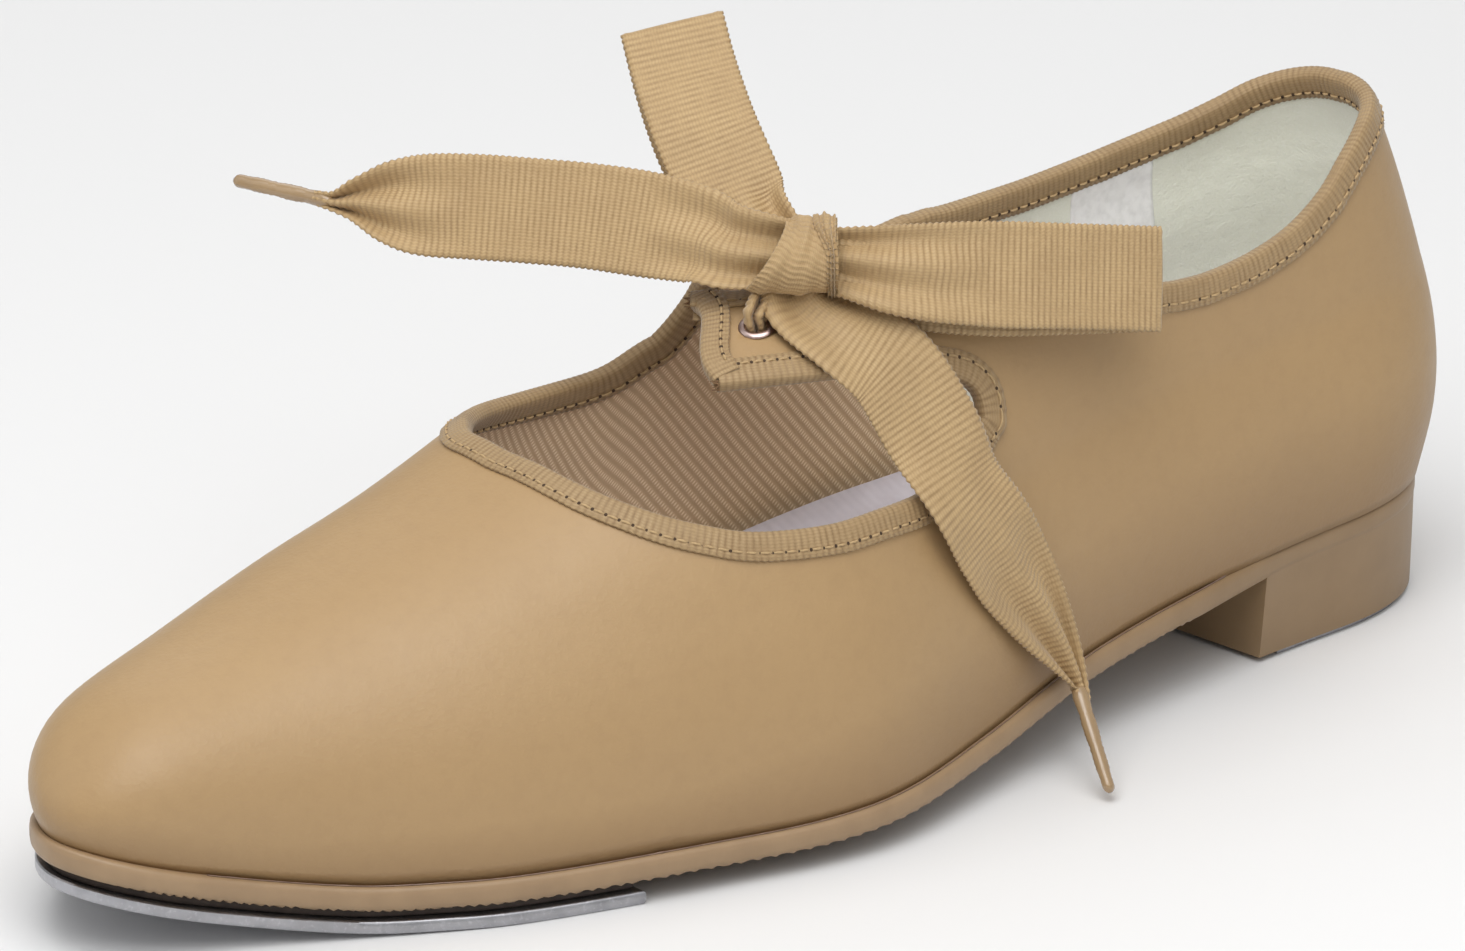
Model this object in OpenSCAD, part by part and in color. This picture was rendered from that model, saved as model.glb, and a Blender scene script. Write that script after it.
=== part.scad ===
// Low-cut tap shoe, left foot, tied with one ribbon over two instep tabs.
// Frame: +Z up, toe towards -Y, lateral side towards +X, taps standing on Z = 0.

/* [Size] */
// Length of the outsole from toe to heel
shoe_len = 260; // [245:1:275]
// Width of the outsole at the toe
toe_w = 62; // [58:1:66]
// Width of the outsole at the ball of the foot
ball_w = 80; // [76:1:84]
// Width of the outsole at the waist
waist_w = 57; // [54:1:60]
// Width of the outsole at the heel, before its seat is drawn in
heel_w = 55; // [52:1:58]
// Height of the heel's top edge above the floor
heel_h = 16.8; // [15:0.2:19]

/* [Layers] */
// Thickness of the outsole at its edge
sole_t = 4; // [3.5:0.1:4.5]
// Thickness of the upper's material
upper_t = 1.1; // [0.9:0.05:1.2]
// Thickness of the linings
lining_t = 0.5; // [0.4:0.05:0.6]
// Thickness of the toe puff and the heel counter
stiff_t = 0.8; // [0.6:0.05:0.9]
// Thickness of the insole board
board_t = 1.6; // [1.2:0.1:1.8]
// Thickness of the sock over the insole board
sock_t = 1.5; // [1.2:0.1:1.8]

/* [Taps] */
// Thickness of both tap plates
tap_t = 2.2; // [2:0.1:2.6]
// Thickness of the backing board between the toe tap and the sole
backing_t = 1.6; // [1.2:0.1:1.8]
// How far the toe tap reaches back from the toe
toe_tap_len = 80; // [70:1:84]
// How far the heel tap reaches forward from the back of the heel
heel_tap_len = 42; // [36:1:44]
// Radius of the tap screws' shanks
screw_r = 1.4; // [1.2:0.1:1.5]

/* [Ribbon] */
// Width of the ribbon
ribbon_w = 16; // [14:0.5:16]
// Thickness of the ribbon
ribbon_t = 0.8; // [0.6:0.1:0.9]
// Radius of the hole in each eyelet
eyelet_r = 2; // [1.8:0.1:2.1]
// Width of the edge binding on each face
bind_w = 4; // [3.5:0.1:4.2]
// Thickness of the edge binding
bind_t = 0.6; // [0.5:0.05:0.7]

/* [Hidden] */

// Colours of the materials
TAN = [0.72, 0.60, 0.44];
TAPE = [0.70, 0.59, 0.43];
TWILL = [0.55, 0.47, 0.36];
FELT = [0.75, 0.76, 0.70];
STIFFENER = [0.85, 0.83, 0.78];
THREAD = [0.62, 0.50, 0.34];
COPPER = [0.72, 0.55, 0.47];
BOARD = [0.55, 0.42, 0.30];
FOAM = [0.78, 0.79, 0.84];
STEEL = [0.6, 0.6, 0.62];
PAPER = [0.93, 0.93, 0.92];
RUBBER = [0.62, 0.51, 0.38];
SCREW_STEEL = [0.75, 0.75, 0.77];
ALLOY = [0.68, 0.68, 0.70];
BACKING = [0.16, 0.14, 0.13];
FILM = [0.64, 0.56, 0.46];

half_len = shoe_len / 2;
// The upper's lower edge stands this far inside the outsole's edge.
feather_in = 1.5;
// Smallest distance between the end stations and the ends of the outline.
tip_gap = 0.3;
// Clearance between neighbouring layers.
gap = 0.25;

// ---- Smooth curves through a few hand-chosen points -------------------------

// Index of the stretch of curve k (a list of [station, value]) that holds x.
function stretch(k, x, i = 0) = i >= len(k) - 2 || x < k[i + 1][0] ? i : stretch(k, x, i + 1);
function slope(k, i) =
    let (a = max(i - 1, 0), b = min(i + 1, len(k) - 1))
    (k[b][1] - k[a][1]) / (k[b][0] - k[a][0]);
function hermite(p, q, m, n, h, t) =
    (2 * t ^ 3 - 3 * t ^ 2 + 1) * p + (t ^ 3 - 2 * t ^ 2 + t) * h * m
    + (3 * t ^ 2 - 2 * t ^ 3) * q + (t ^ 3 - t ^ 2) * h * n;
function curve(k, x) =
    let (
        u = min(max(x, k[0][0]), k[len(k) - 1][0]),
        i = stretch(k, u),
        h = k[i + 1][0] - k[i][0]
    )
    hermite(k[i][1], k[i + 1][1], slope(k, i), slope(k, i + 1), h, (u - k[i][0]) / h);
function part_of(y) = (y + half_len) / shoe_len;
function clip(v, lo, hi) = min(max(v, lo), hi);
function unit(v) = v / norm(v);

// ---- The last: profiles along the shoe, from toe (0) to heel (1) ------------

half_width = [
    [0, toe_w / 2], [0.08, toe_w / 2 - 1.5], [0.15, toe_w / 2], [0.25, ball_w / 2 - 4],
    [0.35, ball_w / 2 - 0.5], [0.46, ball_w / 2 + 0.5], [0.56, ball_w / 2 - 5.5],
    [0.67, waist_w / 2], [0.81, heel_w / 2], [1, heel_w / 2]
];
middle_x = [
    [0, -7], [0.08, -11.5], [0.15, -10.5], [0.25, -5.5], [0.35, -1.5], [0.46, 3],
    [0.56, 4], [0.67, 3.5], [0.81, 1], [0.9, 0], [1, 0]
];
tread_z = tap_t + backing_t;
sole_z = [
    [0, tread_z + 11.2], [0.08, tread_z + 4.7], [0.15, tread_z + 0.9], [0.2, tread_z + 0.2],
    [0.25, tread_z], [0.32, tread_z], [0.42, tread_z], [0.54, tread_z + 2.2], [0.65, heel_h - 6.3], [0.79, heel_h - 2.5],
    [1, heel_h]
];
ridge_z = [
    [0, 27], [0.06, 35.5], [0.135, 41.5], [0.21, 48], [0.29, 55], [0.385, 65],
    [0.5, 74.5], [0.615, 82], [0.73, 94], [0.885, 112], [1, 120]
];
ridge_x = [[0, -9], [0.15, -10], [0.29, -6], [0.42, -3], [0.58, -1], [0.73, 0], [1, 0]];
// How square the section is, on each side, and how fast it rises.
lateral_power = [
    [0, 0.8], [0.15, 0.78], [0.31, 0.72], [0.46, 0.62], [0.62, 0.52], [0.77, 0.42], [1, 0.36]
];
medial_power = [
    [0, 0.8], [0.15, 0.82], [0.31, 0.78], [0.46, 0.62], [0.62, 0.52], [0.77, 0.42], [1, 0.36]
];
rise_power = [[0, 0.85], [0.15, 0.9], [0.31, 0.95], [0.5, 1], [1, 1]];
// The wall swells out low down and leans in towards the collar.
swell = [[0, 3.2], [0.15, 1.5], [0.35, 1], [0.62, 1.5], [0.81, 2], [1, 2]];
swell_h = 34;
toe_swell = 5;
lean_in = [[0, 0], [0.58, 0], [0.73, 0.06], [0.85, 0.16], [0.92, 0.26], [1, 0.3]];
lean_h = 60;
// Profile of the heel's back, by height above the outsole.
back_curve = [[0, 0], [13, 3.3], [27, 3.2], [42, -0.5], [57, -5.5], [72, -12], [120, -30]];

toe_round = 58;
toe_round_power = 1.8;
heel_round = 30;
heel_round_power = 2.3;
nose_round = 18;
nose_round_power = 2.3;

// Rounds the end of an outline: d is the distance from the end.
function end_cap(d, r, p) = d >= r ? 1 : (1 - (1 - clip(d, 0, r) / r) ^ p) ^ (1 / p);
function plan_cap(y, inset) =
    end_cap(y + half_len - inset, toe_round, toe_round_power)
    * end_cap(half_len - inset - y, heel_round, heel_round_power);
function half_at(y, inset = 0) = (curve(half_width, part_of(y)) - inset) * plan_cap(y, inset);
function mid_at(y) = curve(middle_x, part_of(y));
function sole_at(y) = curve(sole_z, part_of(y));
function feather_at(y) = sole_at(y) + sole_t;

// A point of the last at station y, phi degrees up from the lateral feather edge
// (0), over the ridge (90), down to the medial feather edge (180).
function last(y, phi) =
    let (
        f = part_of(y),
        w = half_at(y, feather_in),
        h = (curve(ridge_z, f) - feather_at(y))
            * end_cap(y + half_len - feather_in, nose_round, nose_round_power),
        c = cos(phi),
        side_power = curve(c >= 0 ? lateral_power : medial_power, f),
        rise = max(sin(phi), 0) ^ curve(rise_power, f),
        up = h * rise,
        bulge = sin(180 * clip(up / swell_h, 0, 1)),
        out = sign(c) * abs(c) ^ side_power
            * (1 + curve(swell, f) * bulge / curve(half_width, f))
            * (1 - curve(lean_in, f) * clip(up / lean_h, 0, 1.6) ^ 2),
        mid = mid_at(y),
        nose_cap = end_cap(y + half_len - feather_in, toe_round, toe_round_power),
        forward = toe_swell * bulge * clip((-70 - y) / 60, 0, 1) ^ 2,
        lean_back = clip((y - 50) / (half_len - 50), 0, 1) ^ 2 * curve(back_curve, up)
    )
    [
        mid + w * out + (curve(ridge_x, f) - mid) * rise * nose_cap,
        y + lean_back - forward,
        feather_at(y) + up
    ];
function last_normal(y, phi) =
    let (d = 0.1, a = clip(phi, 1, 179))
    unit(cross(last(y + d, a) - last(y - d, a), last(y, a + 1) - last(y, a - 1)));
function on_last(y, phi, out) = last(y, phi) + out * last_normal(y, phi);

// ---- The topline and the two tabs -------------------------------------------

throat_y = -44.5;
toe_y = -half_len + feather_in + tip_gap;
heel_y = half_len - feather_in - tip_gap;
// Where each tab leaves the quarter, front and rear: lateral, medial.
tab_root = [[23, 60], [4, 48]];
// Angle of the upper's edge above the feather edge, along each side.
lateral_edge = [
    [throat_y, 90], [-43.5, 78], [-41, 68], [-36, 58], [-30, 51], [-24, 46.5], [-13, 42],
    [-3, 39.5], [8, 37.2], [16, 38], [23, 42], [60, 41], [66, 38.7], [73, 36.4], [83, 34.5],
    [92, 34], [101, 34.9], [110, 36.8], [119, 38], [half_len, 38.2]
];
medial_edge = [
    [throat_y, 90], [-43.5, 80], [-41, 73], [-36, 64], [-30, 57], [-22, 51], [-12, 46.5],
    [-4, 45], [4, 47.5], [48, 47.5], [55, 44.6], [62, 42.2], [73, 38.9], [84, 36.6],
    [94, 35.2], [104, 34.6], [112, 35.2], [119, 36.6], [half_len, 38.2]
];
// Each tab's front and rear edge from its root (0) to its end (1): station, angle.
lateral_front_y = [[0, 23], [0.12, 23], [0.25, 19], [0.6, 1], [1, -18]];
lateral_front_a = [[0, 42], [0.12, 46.5], [0.25, 52], [0.6, 64.5], [1, 76]];
lateral_rear_y = [[0, 60], [0.2, 50], [0.5, 29], [0.8, 7], [1, -7]];
lateral_rear_a = [[0, 41], [0.2, 51], [0.5, 69], [0.8, 85], [1, 91]];
medial_front_y = [[0, 4], [0.2, 7], [0.5, 8.5], [0.8, 7], [1, 5]];
medial_front_a = [[0, 47.5], [0.2, 52], [0.5, 60], [0.8, 70], [1, 77]];
medial_rear_y = [[0, 48], [0.25, 37], [0.55, 27], [0.8, 22], [1, 19]];
medial_rear_a = [[0, 47.5], [0.25, 51], [0.55, 59], [0.8, 68], [1, 75]];
// How far each pulled tab rises off the instep at its end.
tab_lift = [3.2, 0.4];
// How far the middle of each tab's end runs on past its corners.
tab_round = 3;

function edge_angle(side, y) = curve(side == 0 ? lateral_edge : medial_edge, y);
function phi_of(side, a) = side == 0 ? a : 180 - a;
function tab_point(side, across, along) =
    let (
        fy = curve(side == 0 ? lateral_front_y : medial_front_y, along),
        fa = curve(side == 0 ? lateral_front_a : medial_front_a, along),
        ry = curve(side == 0 ? lateral_rear_y : medial_rear_y, along),
        ra = curve(side == 0 ? lateral_rear_a : medial_rear_a, along)
    )
    [
        fy + (ry - fy) * across - tab_round * sin(180 * across) * clip(along, 0, 1) ^ 6,
        fa + (ra - fa) * across
    ];
// A point on a tab, at a distance out of its surface
function tab_place(side, across, along, out) =
    let (
        p = tab_point(side, across, along),
        base = [
            tab_root[side][0] + (tab_root[side][1] - tab_root[side][0]) * across,
            edge_angle(side, tab_root[side][0]
                + (tab_root[side][1] - tab_root[side][0]) * across)
        ],
        q = along == 0 ? base : p,
        phi = phi_of(side, q[1]),
        n = last_normal(q[0], phi)
    )
    last(q[0], phi) + n * (out + tab_lift[side] * along ^ 2);

// ---- Grid of the shell ------------------------------------------------------

vamp_cols = 12;
window_cols = 11;
tab_cols = 6;
quarter_cols = 11;
side_cols = vamp_cols + window_cols + tab_cols + quarter_cols;
rows = 9;
tab_rows = 7;
ring_cols = 2 * (side_cols + 1);

// Station of column i on one side, from the toe (0) to the heel (side_cols).
function station(side, i) =
    let (front = tab_root[side][0], rear = tab_root[side][1])
    i <= vamp_cols ? toe_y + (throat_y - toe_y) * (1 - cos(90 * i / vamp_cols))
    : i <= vamp_cols + window_cols
        ? throat_y + (front - throat_y) * ((i - vamp_cols) / window_cols) ^ 1.8
    : i <= vamp_cols + window_cols + tab_cols
        ? front + (rear - front) * (i - vamp_cols - window_cols) / tab_cols
    : rear + (heel_y - rear)
        * sin(90 * (i - vamp_cols - window_cols - tab_cols) / quarter_cols);
// Columns run round the shoe: lateral heel to toe, then medial toe to heel.
function ring_side(k) = k <= side_cols ? 0 : 1;
function ring_index(k) = k <= side_cols ? side_cols - k : k - side_cols - 1;
function ring_y(k) = station(ring_side(k), ring_index(k));
function is_vamp(k) = ring_index(k) <= vamp_cols;
function top_angle(k) = is_vamp(k) ? 90 : edge_angle(ring_side(k), ring_y(k));
function row_place(k, t, out, from = 0, to = 1) =
    let (a = top_angle(k) * (from + (to - from) * t))
    on_last(ring_y(k), phi_of(ring_side(k), a), out);
// The lasted margin: the feather edge turned in under the insole board.
margin = 12;
function margin_point(k, z) =
    let (
        y = ring_y(k) * (half_len - margin - 0.5) / half_len,
        s = ring_side(k) == 0 ? 1 : -1
    )
    [mid_at(y) + s * half_at(y, margin), y, feather_at(y) + z];

function flat(lists) = [for (l = lists) each l];
function quad(a, b, c, d) =
    a == b ? [[a, c, d]] : c == d ? [[a, b, c]] : b == c ? [[a, b, d]] : [[a, b, c], [a, c, d]];

// A shell over the columns ks. outer and inner hold one list of points per column.
// tabs lists [first position, side, outer rows, inner rows] of what grows above.
function joined(p, r, ks, top) =
    r == top && p >= len(ks) / 2 && is_vamp(ks[p]) ? len(ks) - 1 - p : p;
module shell(ks, outer, inner, ring = false, tabs = []) {
    top = len(outer[0]) - 1;
    n = len(ks);
    span = top + 1;
    base = n * span;
    o = function (p, r) joined(p % n, r, ks, top) * span + r;
    i = function (p, r) base + o(p, r);
    last_p = ring ? n - 1 : n - 2;
    tab_n = tab_cols + 1;
    tab_pts = tab_n * tab_rows;
    // index of a tab's point: which tab, column, row (row 0 is the shell's top row)
    t_o = function (w, c, r) r == 0 ? o(tabs[w][0] + c, top)
        : 2 * base + w * 2 * tab_pts + c * tab_rows + r - 1;
    t_i = function (w, c, r) r == 0 ? i(tabs[w][0] + c, top)
        : 2 * base + w * 2 * tab_pts + tab_pts + c * tab_rows + r - 1;
    grows = function (p) len([for (t = tabs) if (p >= t[0] && p < t[0] + tab_cols) 1]) > 0;
    pts = concat(flat(outer), flat(inner), flat([for (t = tabs) concat(flat(t[2]), flat(t[3]))]));
    skin = [
        for (p = [0:last_p], r = [0:top - 1])
            each concat(
                quad(o(p, r), o(p + 1, r), o(p + 1, r + 1), o(p, r + 1)),
                quad(i(p, r), i(p, r + 1), i(p + 1, r + 1), i(p + 1, r))
            )
    ];
    foot = [for (p = [0:last_p]) each quad(o(p, 0), i(p, 0), i(p + 1, 0), o(p + 1, 0))];
    rim = [
        for (p = [0:last_p])
            if (!grows(p) && !(is_vamp(ks[p % n]) && is_vamp(ks[(p + 1) % n])))
                each quad(o(p, top), o(p + 1, top), i(p + 1, top), i(p, top))
    ];
    sides = ring ? [] : [
        for (r = [0:top - 1])
            each concat(
                quad(o(0, r), o(0, r + 1), i(0, r + 1), i(0, r)),
                quad(o(n - 1, r), i(n - 1, r), i(n - 1, r + 1), o(n - 1, r + 1))
            )
    ];
    tab_faces = [
        for (w = [0:1:len(tabs) - 1])
            each concat(
                [
                    for (c = [0:tab_cols - 1], r = [0:tab_rows - 1])
                        each concat(
                            quad(t_o(w, c, r), t_o(w, c + 1, r), t_o(w, c + 1, r + 1), t_o(w, c, r + 1)),
                            quad(t_i(w, c, r), t_i(w, c, r + 1), t_i(w, c + 1, r + 1), t_i(w, c + 1, r))
                        )
                ],
                [
                    for (r = [0:tab_rows - 1])
                        each concat(
                            quad(t_o(w, 0, r), t_o(w, 0, r + 1), t_i(w, 0, r + 1), t_i(w, 0, r)),
                            quad(t_o(w, tab_cols, r), t_i(w, tab_cols, r),
                                t_i(w, tab_cols, r + 1), t_o(w, tab_cols, r + 1))
                        )
                ],
                [
                    for (c = [0:tab_cols - 1])
                        each quad(t_o(w, c, tab_rows), t_o(w, c + 1, tab_rows),
                            t_i(w, c + 1, tab_rows), t_i(w, c, tab_rows))
                ]
            )
    ];
    polyhedron(pts, concat(skin, foot, rim, sides, tab_faces), convexity = 8);
}

// Rows of a tab as seen round the ring: the lateral one runs rear to front.
function tab_grid(side, out) = [
    for (c = [0:tab_cols])
        [for (r = [1:tab_rows]) tab_place(side, side == 0 ? 1 - c / tab_cols : c / tab_cols, r / tab_rows, out)]
];
function tab_of(side, position, outer, inner) =
    [position, side, tab_grid(side, outer), tab_grid(side, inner)];
lateral_tab_at = quarter_cols;
medial_tab_at = side_cols + 1 + vamp_cols + window_cols;

// ---- Upper and what lines it ------------------------------------------------

// Clearance between the lasted margin and the outsole under it.
foot_gap = 0.2;
module upper_shell() {
    ks = [for (k = [0:ring_cols - 1]) k];
    lift = foot_gap;
    outer = [
        for (k = ks)
            concat(
                [margin_point(k, lift)],
                [for (r = [0:rows]) row_place(k, r / rows, 0) + [0, 0, r == 0 ? lift : 0]]
            )
    ];
    inner = [
        for (k = ks)
            concat(
                [margin_point(k, lift + upper_t)],
                [for (r = [0:rows]) row_place(k, r / rows, -upper_t) + [0, 0, r == 0 ? lift + upper_t : 0]]
            )
    ];
    shell(ks, outer, inner, true, [
        tab_of(0, lateral_tab_at, 0, -upper_t),
        tab_of(1, medial_tab_at, 0, -upper_t)
    ]);
}
module upper() {
    color(TAN) difference() {
        upper_shell();
        eyelet_holes(eyelet_r + barrel_t + 0.1);
    }
}

// How far a lining stands inside the upper's outer face. It steps in where the
// toe puff or the heel counter lies behind it.
function ease(v) = let (u = clip(v, 0, 1)) u * u * (3 - 2 * u);
puff_end = -86;
counter_end = 66;
function lining_depth(k, t) =
    let (y = ring_y(k), puff = ease((puff_end + 7 - y) / 7))
    upper_t + gap + (stiff_t + 1.4 * gap) * max(puff, ease((y - counter_end + 8) / 8) * ease((0.85 - t) / 0.2));
// Share of a column's angle at which the wall stands `up` above the feather edge.
function share_at(k, up) =
    let (
        y = ring_y(k),
        f = part_of(y),
        h = (curve(ridge_z, f) - feather_at(y))
            * end_cap(y + half_len - feather_in, nose_round, nose_round_power)
    )
    asin(clip(up / h, 0, 0.9) ^ (1 / curve(rise_power, f))) / top_angle(k);
floor_up = upper_t + foot_gap + gap;
function lining_column(k, t_extra) = [
    for (r = [0:rows])
        let (t = r / rows)
        row_place(k, t, -lining_depth(k, t) - t_extra, share_at(k, floor_up + 0.3), 1)
];
module lining(ks, t, tabs = []) {
    shell(ks, [for (k = ks) lining_column(k, 0)], [for (k = ks) lining_column(k, t)], false, tabs);
}
module vamp_lining() {
    ks = [for (k = [quarter_cols:ring_cols - 1 - quarter_cols]) k];
    depth = upper_t + gap;
    color(TWILL) difference() {
        lining(ks, lining_t, [
            tab_of(0, 0, -depth, -depth - lining_t),
            tab_of(1, medial_tab_at - quarter_cols, -depth, -depth - lining_t)
        ]);
        eyelet_holes(eyelet_r + barrel_t + 0.1);
    }
}
felt_t = 0.8;
function heel_ring(m) = [for (j = [0:2 * m - 1]) (ring_cols - m + j) % ring_cols];
module heel_lining() {
    color(FELT) lining(heel_ring(quarter_cols + 1), felt_t);
}
// Both stiffeners are skins between the upper and the lining.
module stiffener(ks, top_row) {
    depth = upper_t + gap;
    column = function (k, d)
        [for (r = [0:top_row]) row_place(k, r / rows, -d, share_at(k, floor_up + 0.3), 1)];
    shell(ks, [for (k = ks) column(k, depth)], [for (k = ks) column(k, depth + stiff_t)]);
}
puff_cols = 7;
counter_cols = 9;
counter_top_row = 6;
module toe_puff() {
    first = side_cols - puff_cols;
    ks = [for (k = [first:ring_cols - 1 - first]) k];
    color(STIFFENER) stiffener(ks, rows);
}
module heel_counter() {
    color(STIFFENER) stiffener(heel_ring(counter_cols), counter_top_row);
}

// ---- Edge binding and its stitching -----------------------------------------

// A loft through closed rings of points, closed at both ends. cap lists the
// convex pieces of an end, where the ring itself is not convex.
module loft(rings, cap = undef) {
    m = len(rings[0]);
    n = len(rings);
    at = function (i, j) i * m + j % m;
    pieces = is_undef(cap) ? [[for (j = [0:m - 1]) j]] : cap;
    sides = [
        for (i = [0:n - 2], j = [0:m - 1])
            each quad(at(i, j), at(i + 1, j), at(i + 1, j + 1), at(i, j + 1))
    ];
    end = [for (q = pieces) [for (j = [len(q) - 1:-1:0]) at(n - 1, q[j])]];
    polyhedron(flat(rings), concat(sides, pieces, end), convexity = 8);
}

// A path is a list of [point, outward normal] on the upper's edge. Each place on
// it gets axes: n outwards, and b along the surface into the material.
function tangent(points, i) = unit(points[min(i + 1, len(points) - 1)] - points[max(i - 1, 0)]);
function place_axes(path, i) =
    let (
        pts = [for (q = path) q[0]],
        t = tangent(pts, i),
        n = unit(path[i][1] - t * (path[i][1] * t)),
        b = cross(n, t)
    )
    [path[i][0], n, b];
function tab_edge(side, across, along) =
    let (p = tab_point(side, across, along))
    [tab_place(side, across, along, 0), last_normal(p[0], phi_of(side, p[1]))];
function base_edge(side, i) =
    let (y = station(side, i), phi = phi_of(side, i <= vamp_cols ? 90 : edge_angle(side, y)))
    [last(y, phi), last_normal(y, phi)];
edge_steps = tab_rows;
window_end = vamp_cols + window_cols;
front_path = concat(
    [for (j = [edge_steps:-1:1]) tab_edge(0, 0, j / edge_steps)],
    [for (i = [window_end:-1:vamp_cols + 1]) base_edge(0, i)],
    [for (i = [0.7, 0.35, 0]) base_edge(0, vamp_cols + i)],
    [for (i = [0.35, 0.7]) base_edge(1, vamp_cols + i)],
    [for (i = [vamp_cols + 1:window_end]) base_edge(1, i)],
    [for (j = [1:edge_steps]) tab_edge(1, 0, j / edge_steps)]
);
collar_start = window_end + tab_cols;
collar_path = concat(
    [for (j = [edge_steps:-1:1]) tab_edge(1, 1, j / edge_steps)],
    [for (i = [collar_start:side_cols - 1]) base_edge(1, i)],
    [for (i = [side_cols:-1:collar_start]) base_edge(0, i)],
    [for (j = [1:edge_steps]) tab_edge(0, 1, j / edge_steps)]
);
// A point part way between two of the grid's places on a tab's end.
function tab_end(side, across) =
    let (
        i = floor(min(across * tab_cols, tab_cols - 1)),
        t = across * tab_cols - i,
        p = tab_edge(side, i / tab_cols, 1),
        q = tab_edge(side, (i + 1) / tab_cols, 1)
    )
    [p[0] * (1 - t) + q[0] * t, p[1] * (1 - t) + q[1] * t];
// The path runs front to rear on the medial side and back on the lateral side.
function tab_end_path(side, from, to) =
    let (
        inside = [
            for (i = side == 0 ? [tab_cols:-1:0] : [0:tab_cols])
                let (a = i / tab_cols)
                if (a > from && a < to) a
        ]
    )
    [
        for (a = concat(side == 0 ? to : from, inside, side == 0 ? from : to))
            tab_end(side, a)
    ];

// The tape's section: folded over the edge, one leg on each face.
clear_out = 0.3;
clear_in = upper_t + gap + felt_t + 0.3;
function tape_ring(axes) =
    let (
        out = clear_out + bind_t,
        inner = -clear_in - bind_t,
        tilt = 0.25,
        at = function (n, b) axes[0] + n * axes[1] + b * axes[2]
    )
    [
        at(inner, -bind_t - gap), at(inner - tilt, bind_w), at(-clear_in - tilt, bind_w),
        at(-clear_in, -gap), at(clear_out, -gap), at(clear_out, bind_w),
        at(out, bind_w), at(out, -bind_t - gap)
    ];
tape_cap = [[0, 1, 2, 3], [0, 3, 4, 7], [4, 5, 6, 7]];
module binding(path) {
    color(TAPE)
        loft([for (i = [0:len(path) - 1]) tape_ring(place_axes(path, i))], tape_cap);
}
module front_binding() { binding(front_path); }
module collar_binding() { binding(collar_path); }
module lateral_tab_binding() { binding(tab_end_path(0, 0.27, 0.76)); }
module medial_tab_binding() { binding(tab_end_path(1, 0.44, 0.66)); }

// One thread along the tape, a third of the way up from its lower edge.
thread_r = 0.25;
thread_in = 2.8;
module stitching(path) {
    last_i = len(path) - 1;
    color(THREAD) loft([
        for (i = [1:last_i - 1])
            let (
                axes = place_axes(path, i),
                c = axes[0] + axes[2] * thread_in
                    + axes[1] * (clear_out + bind_t + 0.05 + thread_r)
            )
            [for (a = [0:90:270]) c + thread_r * (sin(a) * axes[1] + cos(a) * axes[2])]
    ]);
}
module front_binding_stitching() { stitching(front_path); }
module collar_binding_stitching() { stitching(collar_path); }

// ---- Eyelets ----------------------------------------------------------------

barrel_t = 0.35;
flange_r = 3.4;
washer_t = 0.4;
// Where each eyelet sits on its tab: across it, then along it.
eyelet_at = [[0.62, 0.9], [0.47, 0.66]];
tab_stack = upper_t + gap + lining_t;
// Puts its children at an eyelet, +Z outwards.
module at_eyelet(side) {
    p = tab_place(side, eyelet_at[side][0], eyelet_at[side][1], 0);
    q = tab_point(side, eyelet_at[side][0], eyelet_at[side][1]);
    n = last_normal(q[0], phi_of(side, q[1]));
    translate(p) rotate([0, acos(n[2]), atan2(n[1], n[0])]) children();
}
module eyelet_holes(r) {
    for (side = [0, 1])
        at_eyelet(side) translate([0, 0, -6]) cylinder(h = 12, r = r, $fn = 48);
}
module eyelet(side) {
    low = -tab_stack - 0.75 - washer_t;
    color(COPPER) at_eyelet(side) rotate_extrude($fn = 48) {
        translate([eyelet_r, low]) square([barrel_t, 0.2 - low]);
        polygon([
            [eyelet_r, 0.1], [flange_r, 0.1], [flange_r, 0.45], [flange_r - 0.35, 0.8],
            [eyelet_r + 0.45, 0.8], [eyelet_r, 0.5]
        ]);
    }
}
module washer(side) {
    color(COPPER) at_eyelet(side)
        translate([0, 0, -tab_stack - 0.6 - washer_t]) difference() {
            cylinder(h = washer_t, r = flange_r, $fn = 48);
            translate([0, 0, -1])
                cylinder(h = washer_t + 2, r = eyelet_r + barrel_t, $fn = 48);
        }
}
module lateral_eyelet() { eyelet(0); }
module medial_eyelet() { eyelet(1); }
module lateral_eyelet_washer() { washer(0); }
module medial_eyelet_washer() { washer(1); }

// ---- Inside the shoe --------------------------------------------------------

// A slab that follows the sole, between the stations from and to.
slab_steps = 34;
function slab_ring(y, inset, low, high) =
    let (w = half_at(y, inset), m = mid_at(y), e = min(0.4, w / 3))
    [
        [m - w + e, y, low], [m - w, y, low + e], [m - w, y, high - e], [m - w + e, y, high],
        [m + w - e, y, high], [m + w, y, high - e], [m + w, y, low + e], [m + w - e, y, low]
    ];
function slab_y(from, to, j) = from + (to - from) * (1 - cos(180 * j / slab_steps)) / 2;
module slab(from, to, inset, low, high, tuck = 0) {
    loft([
        for (j = [0:slab_steps])
            let (y = slab_y(from, to, j))
            [for (p = slab_ring(y, inset, low(y), high(y))) seat_tuck(p, tuck)]
    ]);
}
module full_slab(inset, low, high, tuck = 0) {
    slab(-half_len + inset + tip_gap, half_len - inset - tip_gap, inset, low, high, tuck);
}
board_in = 5.6;
board_low = floor_up + 0.15;
sock_low = board_low + board_t + gap;
module insole_board() {
    color(BOARD) full_slab(board_in,
        function (y) feather_at(y) + board_low,
        function (y) feather_at(y) + board_low + board_t);
}
module sock() {
    color(FOAM) full_slab(board_in + 0.1,
        function (y) feather_at(y) + sock_low,
        function (y) feather_at(y) + sock_low + sock_t);
}
shank_w = 12;
shank_t = 1;
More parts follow.
